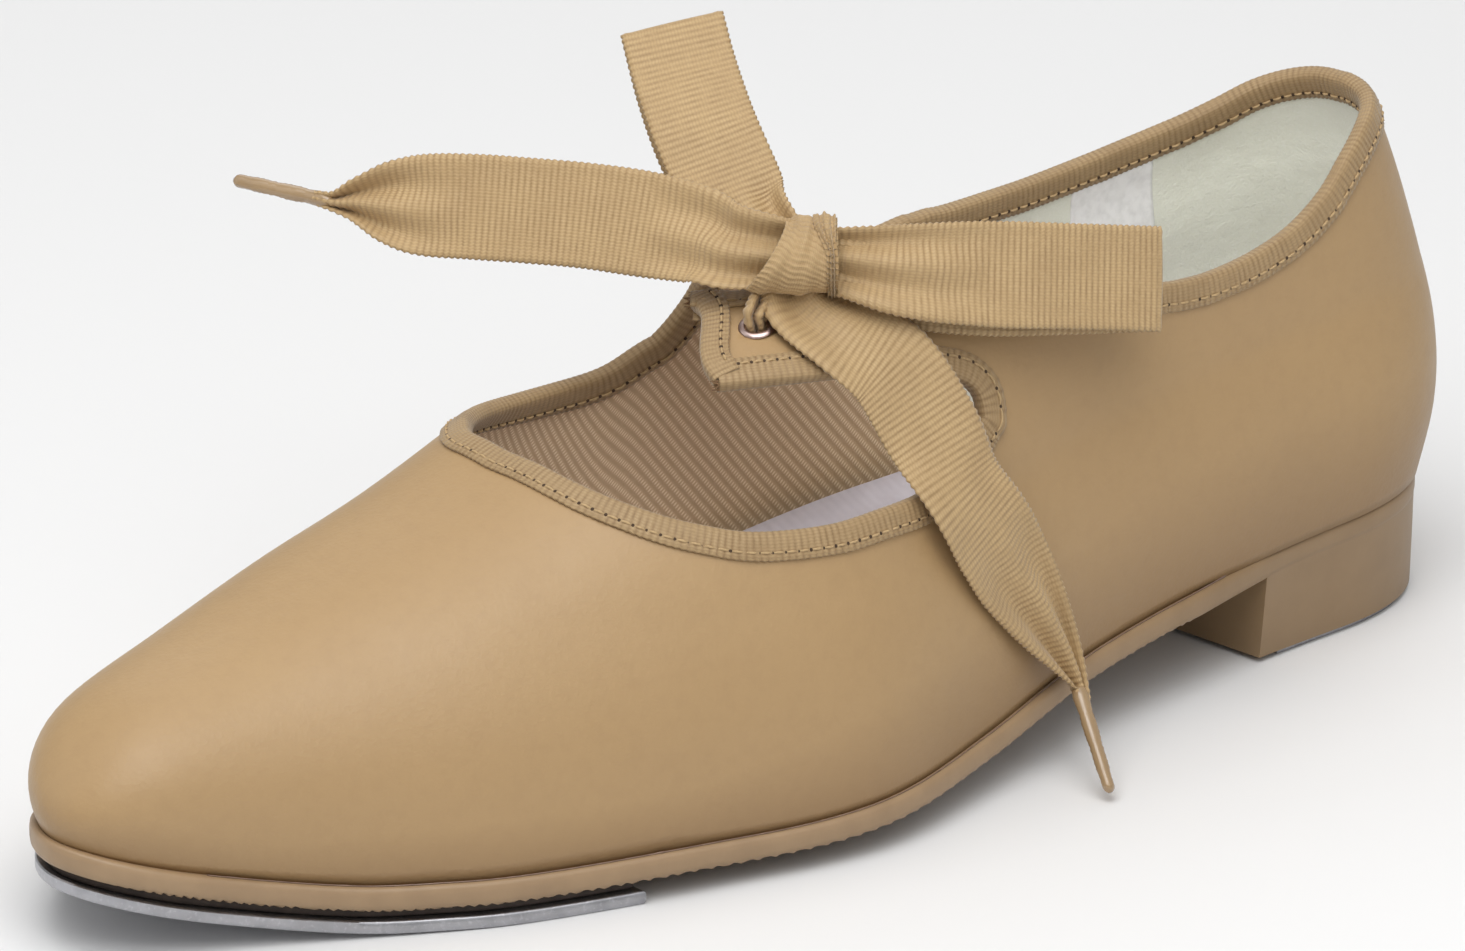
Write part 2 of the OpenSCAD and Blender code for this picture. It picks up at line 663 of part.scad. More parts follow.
module shank() {
    color(STEEL) loft([
        for (y = [-12:8:84])
            let (z = feather_at(y) + gap, x = mid_at(y))
            [
                [x - shank_w / 2, y, z], [x - shank_w / 2, y, z + shank_t],
                [x + shank_w / 2, y, z + shank_t], [x + shank_w / 2, y, z]
            ]
    ]);
}
// A blank label sewn under the collar on the medial side.
label_t = 0.3;
module size_label() {
    out = -clear_in - bind_t - 0.7;
    from = 82;
    to = 99;
    column = function (y, d) [
        for (r = [0:4])
            on_last(y, 180 - edge_angle(1, y) * (0.93 - 0.1 * r), d)
    ];
    color(PAPER) loft([
        for (j = [0:4])
            let (y = from + (to - from) * j / 4, front = column(y, out), back = column(y, out - label_t))
            concat(back, [for (r = [4:-1:0]) front[r]])
    ]);
}

// ---- Outsole, heel and taps -------------------------------------------------

breast_lateral = 82;
breast_medial = 76;
heel_taper = 3;
heel_steps = 12;
heel_half_w = 28;
function heel_station(front, back, j) = front + (back - front) * sin(90 * j / heel_steps);
// The heel seat is drawn in, so that the upper stands proud of it.
seat_in = 0.078;
seat_front = 62;
seat_run = 28;
seat_middle_y = 100;
function seat_tuck(p, share = 1) =
    let (k = share * seat_in * ease((p[1] - seat_front) / seat_run))
    [p[0] * (1 - 0.8 * k), p[1] - max(p[1] - seat_middle_y, 0) * k, p[2]];
module heel_block() {
    loft([
        for (j = [0:heel_steps])
            let (
                yl = heel_station(breast_lateral, half_len - 0.4, j),
                ym = heel_station(breast_medial, half_len - 0.4, j),
                k = (half_len - 2.2 - breast_lateral) / (half_len - 0.4 - breast_lateral),
                bl = breast_lateral + (yl - breast_lateral) * k,
                bm = breast_medial + (ym - breast_medial) * k,
                w = half_at(yl, 0.1),
                v = half_at(ym, 0.1)
            )
            [
                [mid_at(yl) + w - heel_taper * w / heel_half_w, bl, tap_t],
                [mid_at(ym) - v + heel_taper * v / heel_half_w, bm, tap_t],
                seat_tuck([mid_at(ym) - v, ym, sole_at(ym) + 1]),
                seat_tuck([mid_at(yl) + w, yl, sole_at(yl) + 1])
            ]
    ]);
}
module outsole() {
    color(RUBBER) difference() {
        union() {
            full_slab(0, function (y) sole_at(y), function (y) sole_at(y) + sole_t, 1);
            heel_block();
        }
        screw_holes(toe_screws);
        screw_holes(heel_screws);
    }
}

// Screws: [x, y, height of the plate's underside there, height of the tip]
screw_head_r = 2.7;
screw_head_t = 1.1;
head_gap = 0.3;
function toe_screw(x, y) = [x, y, sole_at(y) - tread_z, sole_at(y) + 3];
toe_screws = [toe_screw(-12, -106), toe_screw(-36, -60), toe_screw(25, -60)];
heel_screws = [[0, 118, 0, 13], [-15, 96, 0, 13], [15, 96, 0, 13]];
module screw_holes(list) {
    for (s = list)
        translate([s[0], s[1], s[2] - 2])
            cylinder(h = s[3] - s[2] + 2, r = screw_r, $fn = 32);
}
module screw_recesses(list) {
    for (s = list)
        translate([s[0], s[1], s[2] - 3])
            cylinder(h = 3 + head_gap + screw_head_t, r = screw_head_r + 0.05, $fn = 32);
}
module screws(list) {
    color(SCREW_STEEL)
        for (s = list)
            translate([s[0], s[1], s[2] + head_gap]) difference() {
                union() {
                    cylinder(h = screw_head_t, r = screw_head_r, $fn = 32);
                    cylinder(h = s[3] - s[2] - head_gap, r = screw_r, $fn = 32);
                }
                for (turn = [0, 90])
                    rotate(turn) translate([-1.6, -0.3, -0.5]) cube([3.2, 0.6, 1]);
            }
}
tap_in = 0.8;
toe_tap_end = -half_len + toe_tap_len;
module toe_tap() {
    color(ALLOY) difference() {
        slab(-half_len + tap_in + tip_gap, toe_tap_end, tap_in,
            function (y) sole_at(y) - tread_z,
            function (y) sole_at(y) - tread_z + tap_t);
        screw_holes(toe_screws);
        screw_recesses(toe_screws);
    }
}
module toe_tap_backing() {
    inset = 2.6;
    color(BACKING) difference() {
        slab(-half_len + inset + tip_gap, toe_tap_end - 1, inset,
            function (y) sole_at(y) - backing_t + 0.05,
            function (y) sole_at(y) - 0.05);
        screw_holes(toe_screws);
    }
}
module heel_tap() {
    back = half_len - 3;
    front = half_len - heel_tap_len - 2;
    color(ALLOY) difference() {
        loft([
            for (j = [0:heel_steps])
                let (
                    y = heel_station(front, back, j),
                    w = (half_at(min(y + 2, half_len - 0.4), 0.1)) * (1 - (heel_taper + tap_in) / heel_half_w)
                )
                [
                    [mid_at(y) + w - 0.3, y, 0], [mid_at(y) - w + 0.3, y, 0],
                    [mid_at(y) - w, y, 0.3], [mid_at(y) - w, y, tap_t],
                    [mid_at(y) + w, y, tap_t], [mid_at(y) + w, y, 0.3]
                ]
        ]);
        screw_holes(heel_screws);
        screw_recesses(heel_screws);
    }
}
module toe_tap_screws() { screws(toe_screws); }
module heel_tap_screws() { screws(heel_screws); }

// ---- Ribbon -----------------------------------------------------------------

// A strand is a list of [centre, outward normal, width, thickness].
function ribbon_ring(route, i) =
    let (
        pts = [for (q = route) q[0]],
        t = tangent(pts, i),
        w = unit(cross(route[i][1], t)),
        n = cross(t, w),
        a = w * route[i][2] / 2,
        b = n * route[i][3] / 2,
        c = pts[i]
    )
    [c - a - b, c + a - b, c + a + b, c - a + b];
module strand(route) {
    color(TAPE) loft([for (i = [0:len(route) - 1]) ribbon_ring(route, i)]);
}

knot = [8.7, -0.3, 84.2];
knot_dir = [0.643, 0.766, 0];
knot_back = [-0.766, 0.643, 0];
knot_half = 6.8;
knot_depth = 7.5;
knot_height = 5.8;
// A band drawn tight round the crossing: [distance along, size]
knot_profile = [[-1, 0.8], [-0.75, 1], [-0.3, 0.93], [0.3, 0.95], [0.75, 1], [1, 0.8]];
module ribbon_knot() {
    color(TAPE) loft([
        for (q = knot_profile)
            [
                for (a = [15:30:345])
                    knot + knot_dir * knot_half * q[0]
                        + knot_back * knot_depth * q[1] * cos(a)
                        + [0, 0, knot_height * q[1] * sin(a)]
            ]
    ]);
}

// The middle of the ribbon: out of the knot, down through the lateral eyelet,
// across under the tabs, up through the medial eyelet and back to the knot.
laced_w = 2.6;
laced_t = 1.6;
function eyelet_centre(side) = tab_place(side, eyelet_at[side][0], eyelet_at[side][1], 0);
function eyelet_normal(side) =
    let (q = tab_point(side, eyelet_at[side][0], eyelet_at[side][1]))
    last_normal(q[0], phi_of(side, q[1]));
// A place on the way through an eyelet, at a height along its axis
function through_eyelet(side, height, facing) =
    [eyelet_centre(side) + eyelet_normal(side) * height, facing, laced_w, laced_t];
lacing_route = [
    [[7.2, -2, 79.2], [-0.3, 0.22, -0.8], 4, laced_t],
    through_eyelet(0, 2.2, [-0.73, 0.55, -0.35]),
    through_eyelet(0, -4.8, [-0.62, 0.47, 0.63]),
    [[4, -3.4, 67.5], [0, 0, 1], 6, 1.2],
    [[-6, 5, 66.5], [0, 0, 1], 10, ribbon_t],
    [[-14, 12, 66.2], [0, 0, 1], 6, 1.2],
    through_eyelet(1, -4.8, [0.5, 0.1, 0.85]),
    through_eyelet(1, 2.2, [0.88, 0, 0.47]),
    [[-24.3, 15.4, 75.2], [1, 0, 0], 3.6, 1.4],
    [[-22, 15, 76.6], [0.58, 0, -0.755], 5, 1.2],
    [[-16, 12.5, 78.6], [0, 0.3, -1], 7, 1],
    [[-6, 8.5, 80.6], [0, 0.3, -1], 8, ribbon_t],
    [[4.4, 3.6, 82.4], [0, 0.3, -1], 8, ribbon_t]
];
module ribbon_lacing() { strand(lacing_route); }

facing = [0.709, -0.595, 0.378];
front_tail_route = [
    [[2.9, -7.4, 84.2], facing, 8.5, ribbon_t],
    [[-3, -8.5, 85.4], facing, 14, ribbon_t],
    [[-11, -12, 86.2], facing, ribbon_w, ribbon_t],
    [[-20, -16.2, 86], facing, ribbon_w, ribbon_t],
    [[-29, -20.9, 85.4], facing, ribbon_w, ribbon_t],
    [[-37.5, -25.2, 84.6], facing, ribbon_w, ribbon_t],
    [[-45, -29.2, 83.7], facing, 15, ribbon_t],
    [[-50, -31.8, 83.3], facing, 12, ribbon_t],
    [[-54, -33.9, 82.9], facing, 7, 1.1],
    [[-57.4, -35.8, 82.2], facing, 2.2, 1.4],
    [[-59.6, -36.7, 82.2], facing, 1.6, 1.2]
];
module front_tail() { strand(front_tail_route); }

side_tail_route = [
    [[12.6, -0.4, 77.2], [0.35, -0.15, 0.92], 8, ribbon_t],
    [[20, 1.4, 74.1], [0.5, -0.15, 0.85], 13, ribbon_t],
    [[22.9, 3.4, 72.2], [0.66, -0.18, 0.71], 14.8, ribbon_t],
    [[25.2, 6, 69.2], [0.8, -0.2, 0.55], ribbon_w, ribbon_t],
    [[30, 9.8, 59.5], [0.93, -0.2, 0.3], ribbon_w, ribbon_t],
    [[34.8, 12.6, 50.4], [0.95, 0.12, 0.25], ribbon_w, ribbon_t],
    [[36.4, 16.8, 42.5], [1, 0.06, 0.12], ribbon_w, ribbon_t],
    [[36.3, 20.8, 35.5], [1, 0.03, 0.1], 15, ribbon_t],
    [[36.8, 26, 27], [1, 0.05, 0.05], 11.5, ribbon_t],
    [[37.2, 30.4, 19.5], [1, 0.05, 0.05], 7, 1.1],
    [[38.4, 32.3, 14.3], [1, 0, 0.3], 2.2, 1.4],
    [[39.9, 31.9, 12.5], [0.7, 0, 0.7], 1.6, 1.2]
];
module side_tail() { strand(side_tail_route); }

// A loop is two layers about a middle line, joined by a fold at its far end.
// Each entry of the middle line is [centre, half spread of the layers, width].
function loop_axes(mid, w, i) =
    let (pts = [for (q = mid) q[0]], t = tangent(pts, i), n = unit(cross(t, w)))
    [t, n];
function loop_layer(mid, w, i, side) =
    let (n = loop_axes(mid, w, i)[1])
    [mid[i][0] + side * mid[i][1] * n, side * n, mid[i][2], ribbon_t];
function loop_route(mid, w) =
    let (
        m = len(mid) - 1,
        ends = loop_axes(mid, w, m),
        r = mid[m][1]
    )
    concat(
        [for (i = [0:m]) loop_layer(mid, w, i, 1)],
        [
            for (a = [45:45:135])
                let (out = sin(a) * ends[0] + cos(a) * ends[1])
                [mid[m][0] + r * out, out, mid[m][2], ribbon_t]
        ],
        [for (i = [m:-1:0]) loop_layer(mid, w, i, -1)]
    );
upper_loop_mid = [
    [[-4.5, 1.1, 86.9], 0.8, 14], [[-7.4, 1.6, 89.2], 1.3, ribbon_w], [[-11.3, 2.7, 91.7], 1.7, ribbon_w],
    [[-16.2, 4, 95.1], 2.1, ribbon_w], [[-21.3, 5.9, 98.4], 2.2, ribbon_w],
    [[-26.2, 8, 101.7], 2, ribbon_w], [[-31.3, 10.1, 106.6], 1.2, ribbon_w]
];
module upper_loop() { strand(loop_route(upper_loop_mid, [0.586, 0.796, 0.148])); }
rear_loop_mid = [
    [[14.8, 5.4, 83.4], 0.8, 9.5], [[20.6, 12, 82.1], 1.4, 13.5], [[25.5, 24, 80], 1.8, ribbon_w],
    [[29, 39, 76.9], 1.8, ribbon_w], [[32, 52.6, 74], 1.2, ribbon_w]
];
module rear_loop() { strand(loop_route(rear_loop_mid, [-0.289, 0.243, 0.926])); }

// A crimped tube over a strand's pointed end, between two points.
aglet_r = 1.2;
module aglet(from, to) {
    t = unit(to - from);
    a = unit(cross(t, [0, 0, 1]));
    b = cross(t, a);
    color(FILM) loft([
        for (q = [[0, 0.8], [0.06, 1], [0.94, 1], [1, 0.8]])
            [
                for (s = [0:45:315])
                    from + (to - from) * q[0] + aglet_r * q[1] * (cos(s) * a + sin(s) * b)
            ]
    ]);
}
module front_aglet() { aglet([-57.8, -35.9, 82.2], [-74.2, -42.1, 82.4]); }
module side_aglet() { aglet([38.7, 32.2, 14], [51, 28, 1.6]); }

upper();
vamp_lining();
heel_lining();
toe_puff();
heel_counter();
front_binding();
collar_binding();
lateral_tab_binding();
medial_tab_binding();
front_binding_stitching();
collar_binding_stitching();
lateral_eyelet();
medial_eyelet();
lateral_eyelet_washer();
medial_eyelet_washer();
insole_board();
shank();
sock();
size_label();
outsole();
toe_tap_backing();
toe_tap();
toe_tap_screws();
heel_tap();
heel_tap_screws();
ribbon_lacing();
ribbon_knot();
upper_loop();
rear_loop();
front_tail();
side_tail();
front_aglet();
side_aglet();
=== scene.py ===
import math
from contextlib import contextmanager

import bmesh
import bpy
import numpy as np
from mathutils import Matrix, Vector


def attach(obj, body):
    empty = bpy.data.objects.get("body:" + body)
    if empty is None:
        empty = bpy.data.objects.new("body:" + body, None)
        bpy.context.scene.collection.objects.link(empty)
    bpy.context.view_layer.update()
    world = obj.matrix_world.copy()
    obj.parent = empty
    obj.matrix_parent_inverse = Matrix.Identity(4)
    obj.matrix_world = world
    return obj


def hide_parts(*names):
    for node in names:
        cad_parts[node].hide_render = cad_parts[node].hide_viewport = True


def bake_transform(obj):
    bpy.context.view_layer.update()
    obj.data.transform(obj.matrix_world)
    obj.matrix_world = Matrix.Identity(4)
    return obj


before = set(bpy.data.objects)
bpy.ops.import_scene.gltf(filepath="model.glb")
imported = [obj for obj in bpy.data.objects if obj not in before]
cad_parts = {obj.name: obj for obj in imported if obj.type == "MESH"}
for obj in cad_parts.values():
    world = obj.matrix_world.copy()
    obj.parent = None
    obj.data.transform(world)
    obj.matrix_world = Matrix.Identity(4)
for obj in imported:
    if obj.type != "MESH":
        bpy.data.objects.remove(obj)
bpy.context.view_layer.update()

# ---- The last: the same smooth surface that the CAD solids are cut from, in mm ----
MM = 0.001
HALF = 130.0
TOE_W, BALL_W, WAIST_W, HEEL_W, HEEL_H = 62.0, 80.0, 57.0, 55.0, 16.8
SOLE_T, UPPER_T, TAP_T, BACKING_T = 4.0, 1.1, 2.2, 1.6
TREAD_Z = TAP_T + BACKING_T
FEATHER_IN = 1.5

half_width = [[0, TOE_W / 2], [0.08, TOE_W / 2 - 1.5], [0.15, TOE_W / 2], [0.25, BALL_W / 2 - 4],
              [0.35, BALL_W / 2 - 0.5], [0.46, BALL_W / 2 + 0.5], [0.56, BALL_W / 2 - 5.5],
              [0.67, WAIST_W / 2], [0.81, HEEL_W / 2], [1, HEEL_W / 2]]
middle_x = [[0, -7], [0.08, -11.5], [0.15, -10.5], [0.25, -5.5], [0.35, -1.5], [0.46, 3],
            [0.56, 4], [0.67, 3.5], [0.81, 1], [0.9, 0], [1, 0]]
sole_z = [[0, TREAD_Z + 11.2], [0.08, TREAD_Z + 4.7], [0.15, TREAD_Z + 0.9], [0.2, TREAD_Z + 0.2],
          [0.25, TREAD_Z], [0.32, TREAD_Z], [0.42, TREAD_Z], [0.54, TREAD_Z + 2.2],
          [0.65, HEEL_H - 6.3], [0.79, HEEL_H - 2.5], [1, HEEL_H]]
ridge_z = [[0, 27], [0.06, 35.5], [0.135, 41.5], [0.21, 48], [0.29, 55], [0.385, 65],
           [0.5, 74.5], [0.615, 82], [0.73, 94], [0.885, 112], [1, 120]]
ridge_x = [[0, -9], [0.15, -10], [0.29, -6], [0.42, -3], [0.58, -1], [0.73, 0], [1, 0]]
lateral_power = [[0, 0.8], [0.15, 0.78], [0.31, 0.72], [0.46, 0.62], [0.62, 0.52], [0.77, 0.42], [1, 0.36]]
medial_power = [[0, 0.8], [0.15, 0.82], [0.31, 0.78], [0.46, 0.62], [0.62, 0.52], [0.77, 0.42], [1, 0.36]]
rise_power = [[0, 0.85], [0.15, 0.9], [0.31, 0.95], [0.5, 1], [1, 1]]
swell = [[0, 3.2], [0.15, 1.5], [0.35, 1], [0.62, 1.5], [0.81, 2], [1, 2]]
lean_in = [[0, 0], [0.58, 0], [0.73, 0.06], [0.85, 0.16], [0.92, 0.26], [1, 0.3]]
back_curve = [[0, 0], [13, 3.3], [27, 3.2], [42, -0.5], [57, -5.5], [72, -12], [120, -30]]
SWELL_H, LEAN_H, LEAN_MAX = 34.0, 60.0, 1.6
TOE_SWELL, TOE_SWELL_FROM, TOE_SWELL_RUN = 5.0, -70.0, 60.0
BACK_FROM = 50.0
TOE_ROUND, TOE_POWER = 58.0, 1.8
HEEL_ROUND, HEEL_POWER = 30.0, 2.3
NOSE_ROUND, NOSE_POWER = 18.0, 2.3

THROAT_Y = -44.5
TAB_ROOT = ((23.0, 60.0), (4.0, 48.0))
lateral_edge = [[THROAT_Y, 90], [-43.5, 78], [-41, 68], [-36, 58], [-30, 51], [-24, 46.5], [-13, 42],
                [-3, 39.5], [8, 37.2], [16, 38], [23, 42], [60, 41], [66, 38.7], [73, 36.4], [83, 34.5],
                [92, 34], [101, 34.9], [110, 36.8], [119, 38], [HALF, 38.2]]
medial_edge = [[THROAT_Y, 90], [-43.5, 80], [-41, 73], [-36, 64], [-30, 57], [-22, 51], [-12, 46.5],
               [-4, 45], [4, 47.5], [48, 47.5], [55, 44.6], [62, 42.2], [73, 38.9], [84, 36.6],
               [94, 35.2], [104, 34.6], [112, 35.2], [119, 36.6], [HALF, 38.2]]
EDGES = (lateral_edge, medial_edge)
# each tab's front and rear edge from its root (0) to its end (1): station, angle
TAB_FRONT_Y = ([[0, 23], [0.12, 23], [0.25, 19], [0.6, 1], [1, -18]],
               [[0, 4], [0.2, 7], [0.5, 8.5], [0.8, 7], [1, 5]])
TAB_FRONT_A = ([[0, 42], [0.12, 46.5], [0.25, 52], [0.6, 64.5], [1, 76]],
               [[0, 47.5], [0.2, 52], [0.5, 60], [0.8, 70], [1, 77]])
TAB_REAR_Y = ([[0, 60], [0.2, 50], [0.5, 29], [0.8, 7], [1, -7]],
              [[0, 48], [0.25, 37], [0.55, 27], [0.8, 22], [1, 19]])
TAB_REAR_A = ([[0, 41], [0.2, 51], [0.5, 69], [0.8, 85], [1, 91]],
              [[0, 47.5], [0.25, 51], [0.55, 59], [0.8, 68], [1, 75]])
# how far a tab's end stands off the last, how round its end is, where it joins the topline and how steeply it leaves it
TAB_LIFT, TAB_ROUND = (3.2, 0.4), 3.0
TAB_BLEND, TAB_RISE = (0.15, 0.35), 8.0


def curve(k, x):
    """Smooth curve through a few [station, value] pairs."""
    xs = np.array([p[0] for p in k], float)
    vs = np.array([p[1] for p in k], float)
    n = len(k)
    lo, hi = np.maximum(np.arange(n) - 1, 0), np.minimum(np.arange(n) + 1, n - 1)
    m = (vs[hi] - vs[lo]) / (xs[hi] - xs[lo])
    u = np.clip(np.asarray(x, float), xs[0], xs[-1])
    i = np.clip(np.searchsorted(xs, u, side="right") - 1, 0, n - 2)
    h = xs[i + 1] - xs[i]
    t = (u - xs[i]) / h
    return ((2 * t**3 - 3 * t**2 + 1) * vs[i] + (t**3 - 2 * t**2 + t) * h * m[i]
            + (3 * t**2 - 2 * t**3) * vs[i + 1] + (t**3 - t**2) * h * m[i + 1])


def ease(v):
    v = np.clip(v, 0, 1)
    return v * v * (3 - 2 * v)


def end_cap(d, r, p):
    return np.where(d >= r, 1.0, (1 - (1 - np.clip(d, 0, r) / r) ** p) ** (1 / p))


def plan_cap(y, inset):
    return end_cap(y + HALF - inset, TOE_ROUND, TOE_POWER) * end_cap(HALF - inset - y, HEEL_ROUND, HEEL_POWER)


def part_of(y):
    return (np.asarray(y, float) + HALF) / (2 * HALF)


def half_at(y, inset=0.0):
    return (curve(half_width, part_of(y)) - inset) * plan_cap(y, inset)


def mid_at(y):
    return curve(middle_x, part_of(y))


def sole_at(y):
    return curve(sole_z, part_of(y))


def feather_at(y):
    return sole_at(y) + SOLE_T


def wall_height(y):
    """From the feather edge up to the ridge of the last."""
    nose = end_cap(y + HALF - FEATHER_IN, NOSE_ROUND, NOSE_POWER)
    return (curve(ridge_z, part_of(y)) - feather_at(y)) * nose


def last(y, phi):
    """A point of the last: phi is degrees up from the lateral feather edge."""
    y, phi = np.broadcast_arrays(np.asarray(y, float), np.asarray(phi, float))
    f = part_of(y)
    w = half_at(y, FEATHER_IN)
    c = np.cos(np.radians(phi))
    power = np.where(c >= 0, curve(lateral_power, f), curve(medial_power, f))
    rise = np.maximum(np.sin(np.radians(phi)), 0) ** curve(rise_power, f)
    up = wall_height(y) * rise
    bulge = np.sin(np.pi * np.clip(up / SWELL_H, 0, 1))
    out = (np.sign(c) * np.abs(c) ** power * (1 + curve(swell, f) * bulge / curve(half_width, f))
           * (1 - curve(lean_in, f) * np.clip(up / LEAN_H, 0, LEAN_MAX) ** 2))
    mid = mid_at(y)
    nose = end_cap(y + HALF - FEATHER_IN, TOE_ROUND, TOE_POWER)
    forward = TOE_SWELL * bulge * np.clip((TOE_SWELL_FROM - y) / TOE_SWELL_RUN, 0, 1) ** 2
    back = np.clip((y - BACK_FROM) / (HALF - BACK_FROM), 0, 1) ** 2 * curve(back_curve, up)
    x = mid + w * out + (curve(ridge_x, f) - mid) * rise * nose
    return np.stack([x, y + back - forward, feather_at(y) + up], -1)


def unit(v):
    v = np.asarray(v, float)
    return v / np.maximum(np.linalg.norm(v, axis=-1, keepdims=True), 1e-12)


def last_normal(y, phi):
    d, a = 0.1, np.clip(phi, 1, 179)
    return unit(np.cross(last(y + d, a) - last(y - d, a), last(y, a + 1) - last(y, a - 1)))


def on_last(y, phi, out):
    return last(y, phi) + np.asarray(out)[..., None] * last_normal(y, phi)


def edge_angle(side, y):
    return curve(EDGES[side], y)


def phi_of(side, a):
    return a if side == 0 else 180 - a


def tab_point(side, across, along):
    """Station and angle of a point of a tab's own shape."""
    fy, fa = curve(TAB_FRONT_Y[side], along), curve(TAB_FRONT_A[side], along)
    ry, ra = curve(TAB_REAR_Y[side], along), curve(TAB_REAR_A[side], along)
    y = fy + (ry - fy) * across - TAB_ROUND * np.sin(np.pi * across) * np.clip(along, 0, 1) ** 6
    return y, fa + (ra - fa) * across


def tab_place(side, across, along, out):
    """A point of a tab, out mm off it: across from front to rear, along from root to end."""
    across, along = np.asarray(across, float), np.asarray(along, float)
    y, a = tab_point(side, across, along)
    front, rear = TAB_ROOT[side]
    base_y = front + (rear - front) * across
    k = np.clip(1 - along / TAB_BLEND[side], 0, 1) ** 2
    y, a = y * (1 - k) + base_y * k, a * (1 - k) + edge_angle(side, base_y) * k
    a = np.maximum(a, edge_angle(side, y) + TAB_RISE * along)
    return on_last(y, phi_of(side, a), out + TAB_LIFT[side] * along**2)


def tab_normal(side, across, along):
    y, a = tab_point(side, across, along)
    return last_normal(y, phi_of(side, a))


# ---- Mesh helpers ----
@contextmanager
def editing(mesh):
    bm = bmesh.new()
    bm.from_mesh(mesh)
    yield bm
    bm.to_mesh(mesh)
    bm.free()


def make(name, verts, faces, mat, nodes, slot, uv=None, body="shoe", merge=0.0):
    """A mesh piece from points in mm; uv is one (u, v) per vertex, in metres."""
    me = bpy.data.meshes.new(name)
    points = np.asarray(verts, float).reshape(-1, 3) * MM
    me.from_pydata(points.tolist(), [], [list(map(int, f)) for f in faces])
    if uv is not None:
        layer = me.uv_layers.new(name="cloth")
        idx = np.zeros(len(me.loops), np.int32)
        me.loops.foreach_get("vertex_index", idx)
        layer.data.foreach_set("uv", np.asarray(uv, np.float32).reshape(-1, 2)[idx].ravel())
    me.validate()
    if merge:
        with editing(me) as bm:
            bmesh.ops.remove_doubles(bm, verts=bm.verts, dist=merge * MM)
            bmesh.ops.dissolve_degenerate(bm, dist=1e-7, edges=bm.edges)
    me.polygons.foreach_set("use_smooth", [True] * len(me.polygons))
    ob = place_in_scene(name, me)
    me.materials.append(mat)
    if body:
        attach(ob, body)
    if nodes:
        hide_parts(*nodes)
    return ob


def place_in_scene(name, data):
    ob = bpy.data.objects.new(name, data)
    bpy.context.scene.collection.objects.link(ob)
    return ob


def grid_faces(n, m, wrap_n=False, wrap_m=False, flip=False):
    """Quads over an n by m grid of points, row by row."""
    faces = []
    for i in range(n if wrap_n else n - 1):
        for j in range(m if wrap_m else m - 1):
            i2, j2 = (i + 1) % n, (j + 1) % m
            q = [i * m + j, i2 * m + j, i2 * m + j2, i * m + j2]
            faces.append(q[::-1] if flip else q)
    return faces


def tube(rings):
    """Points and faces of a capped tube through equal rings."""
    rings = np.asarray(rings, float)
    n, m = rings.shape[:2]
    caps = [list(range(m)), list(range((n - 1) * m, n * m))[::-1]]
    return rings.reshape(-1, 3), grid_faces(n, m, wrap_m=True) + caps


def turn(count):
    """Angles once round, in even steps."""
    return np.linspace(0, 2 * np.pi, count, endpoint=False)


def ring_of(centre, r, a, b, count):
    """Points of a circle across the axes a and b."""
    return [centre + r * (math.cos(t) * a + math.sin(t) * b) for t in turn(count)]


def join(parts):
    """Several (points, faces) as one."""
    verts, faces = [], []
    for v, f in parts:
        faces += [[k + len(verts) for k in g] for g in f]
        verts += list(v)
    return verts, faces


def run_of(points):
    """Length run along a row of points."""
    return np.concatenate([[0], np.cumsum(np.linalg.norm(np.diff(points, axis=0), axis=1))])


def outward(ob):
    """Turns every face of a closed piece outward."""
    with editing(ob.data) as bm:
        bmesh.ops.recalc_face_normals(bm, faces=bm.faces)
    return ob


def bevel(ob, width, segments, angle):
    mod = ob.modifiers.new("soft edge", "BEVEL")
    mod.width, mod.segments, mod.limit_method = width * MM, segments, "ANGLE"
    mod.angle_limit = math.radians(angle)
    mod.harden_normals = True


def solidify(ob, thickness, offset=-1.0):
    mod = ob.modifiers.new("thickness", "SOLIDIFY")
    mod.thickness, mod.offset, mod.use_even_offset = thickness * MM, offset, False


# ---- Materials: all procedural, in the row frame or along each cloth's own length ----
def rgb(r, g, b):
    """A display colour (0 to 255) as linear light."""
    return tuple(((c / 255 + 0.055) / 1.055) ** 2.4 for c in (r, g, b)) + (1.0,)


# height of the outsole's top edge at the forefoot, at the heel, and what the toe's spring adds
FOREFOOT_TOP, HEEL_TOP, TOE_SPRING = 8.0, 20.5, 9.0
# how far up the painted shade on the upper reaches from that edge, at the forefoot and at the heel
SHADE_REACH = (9.0, 20.0)


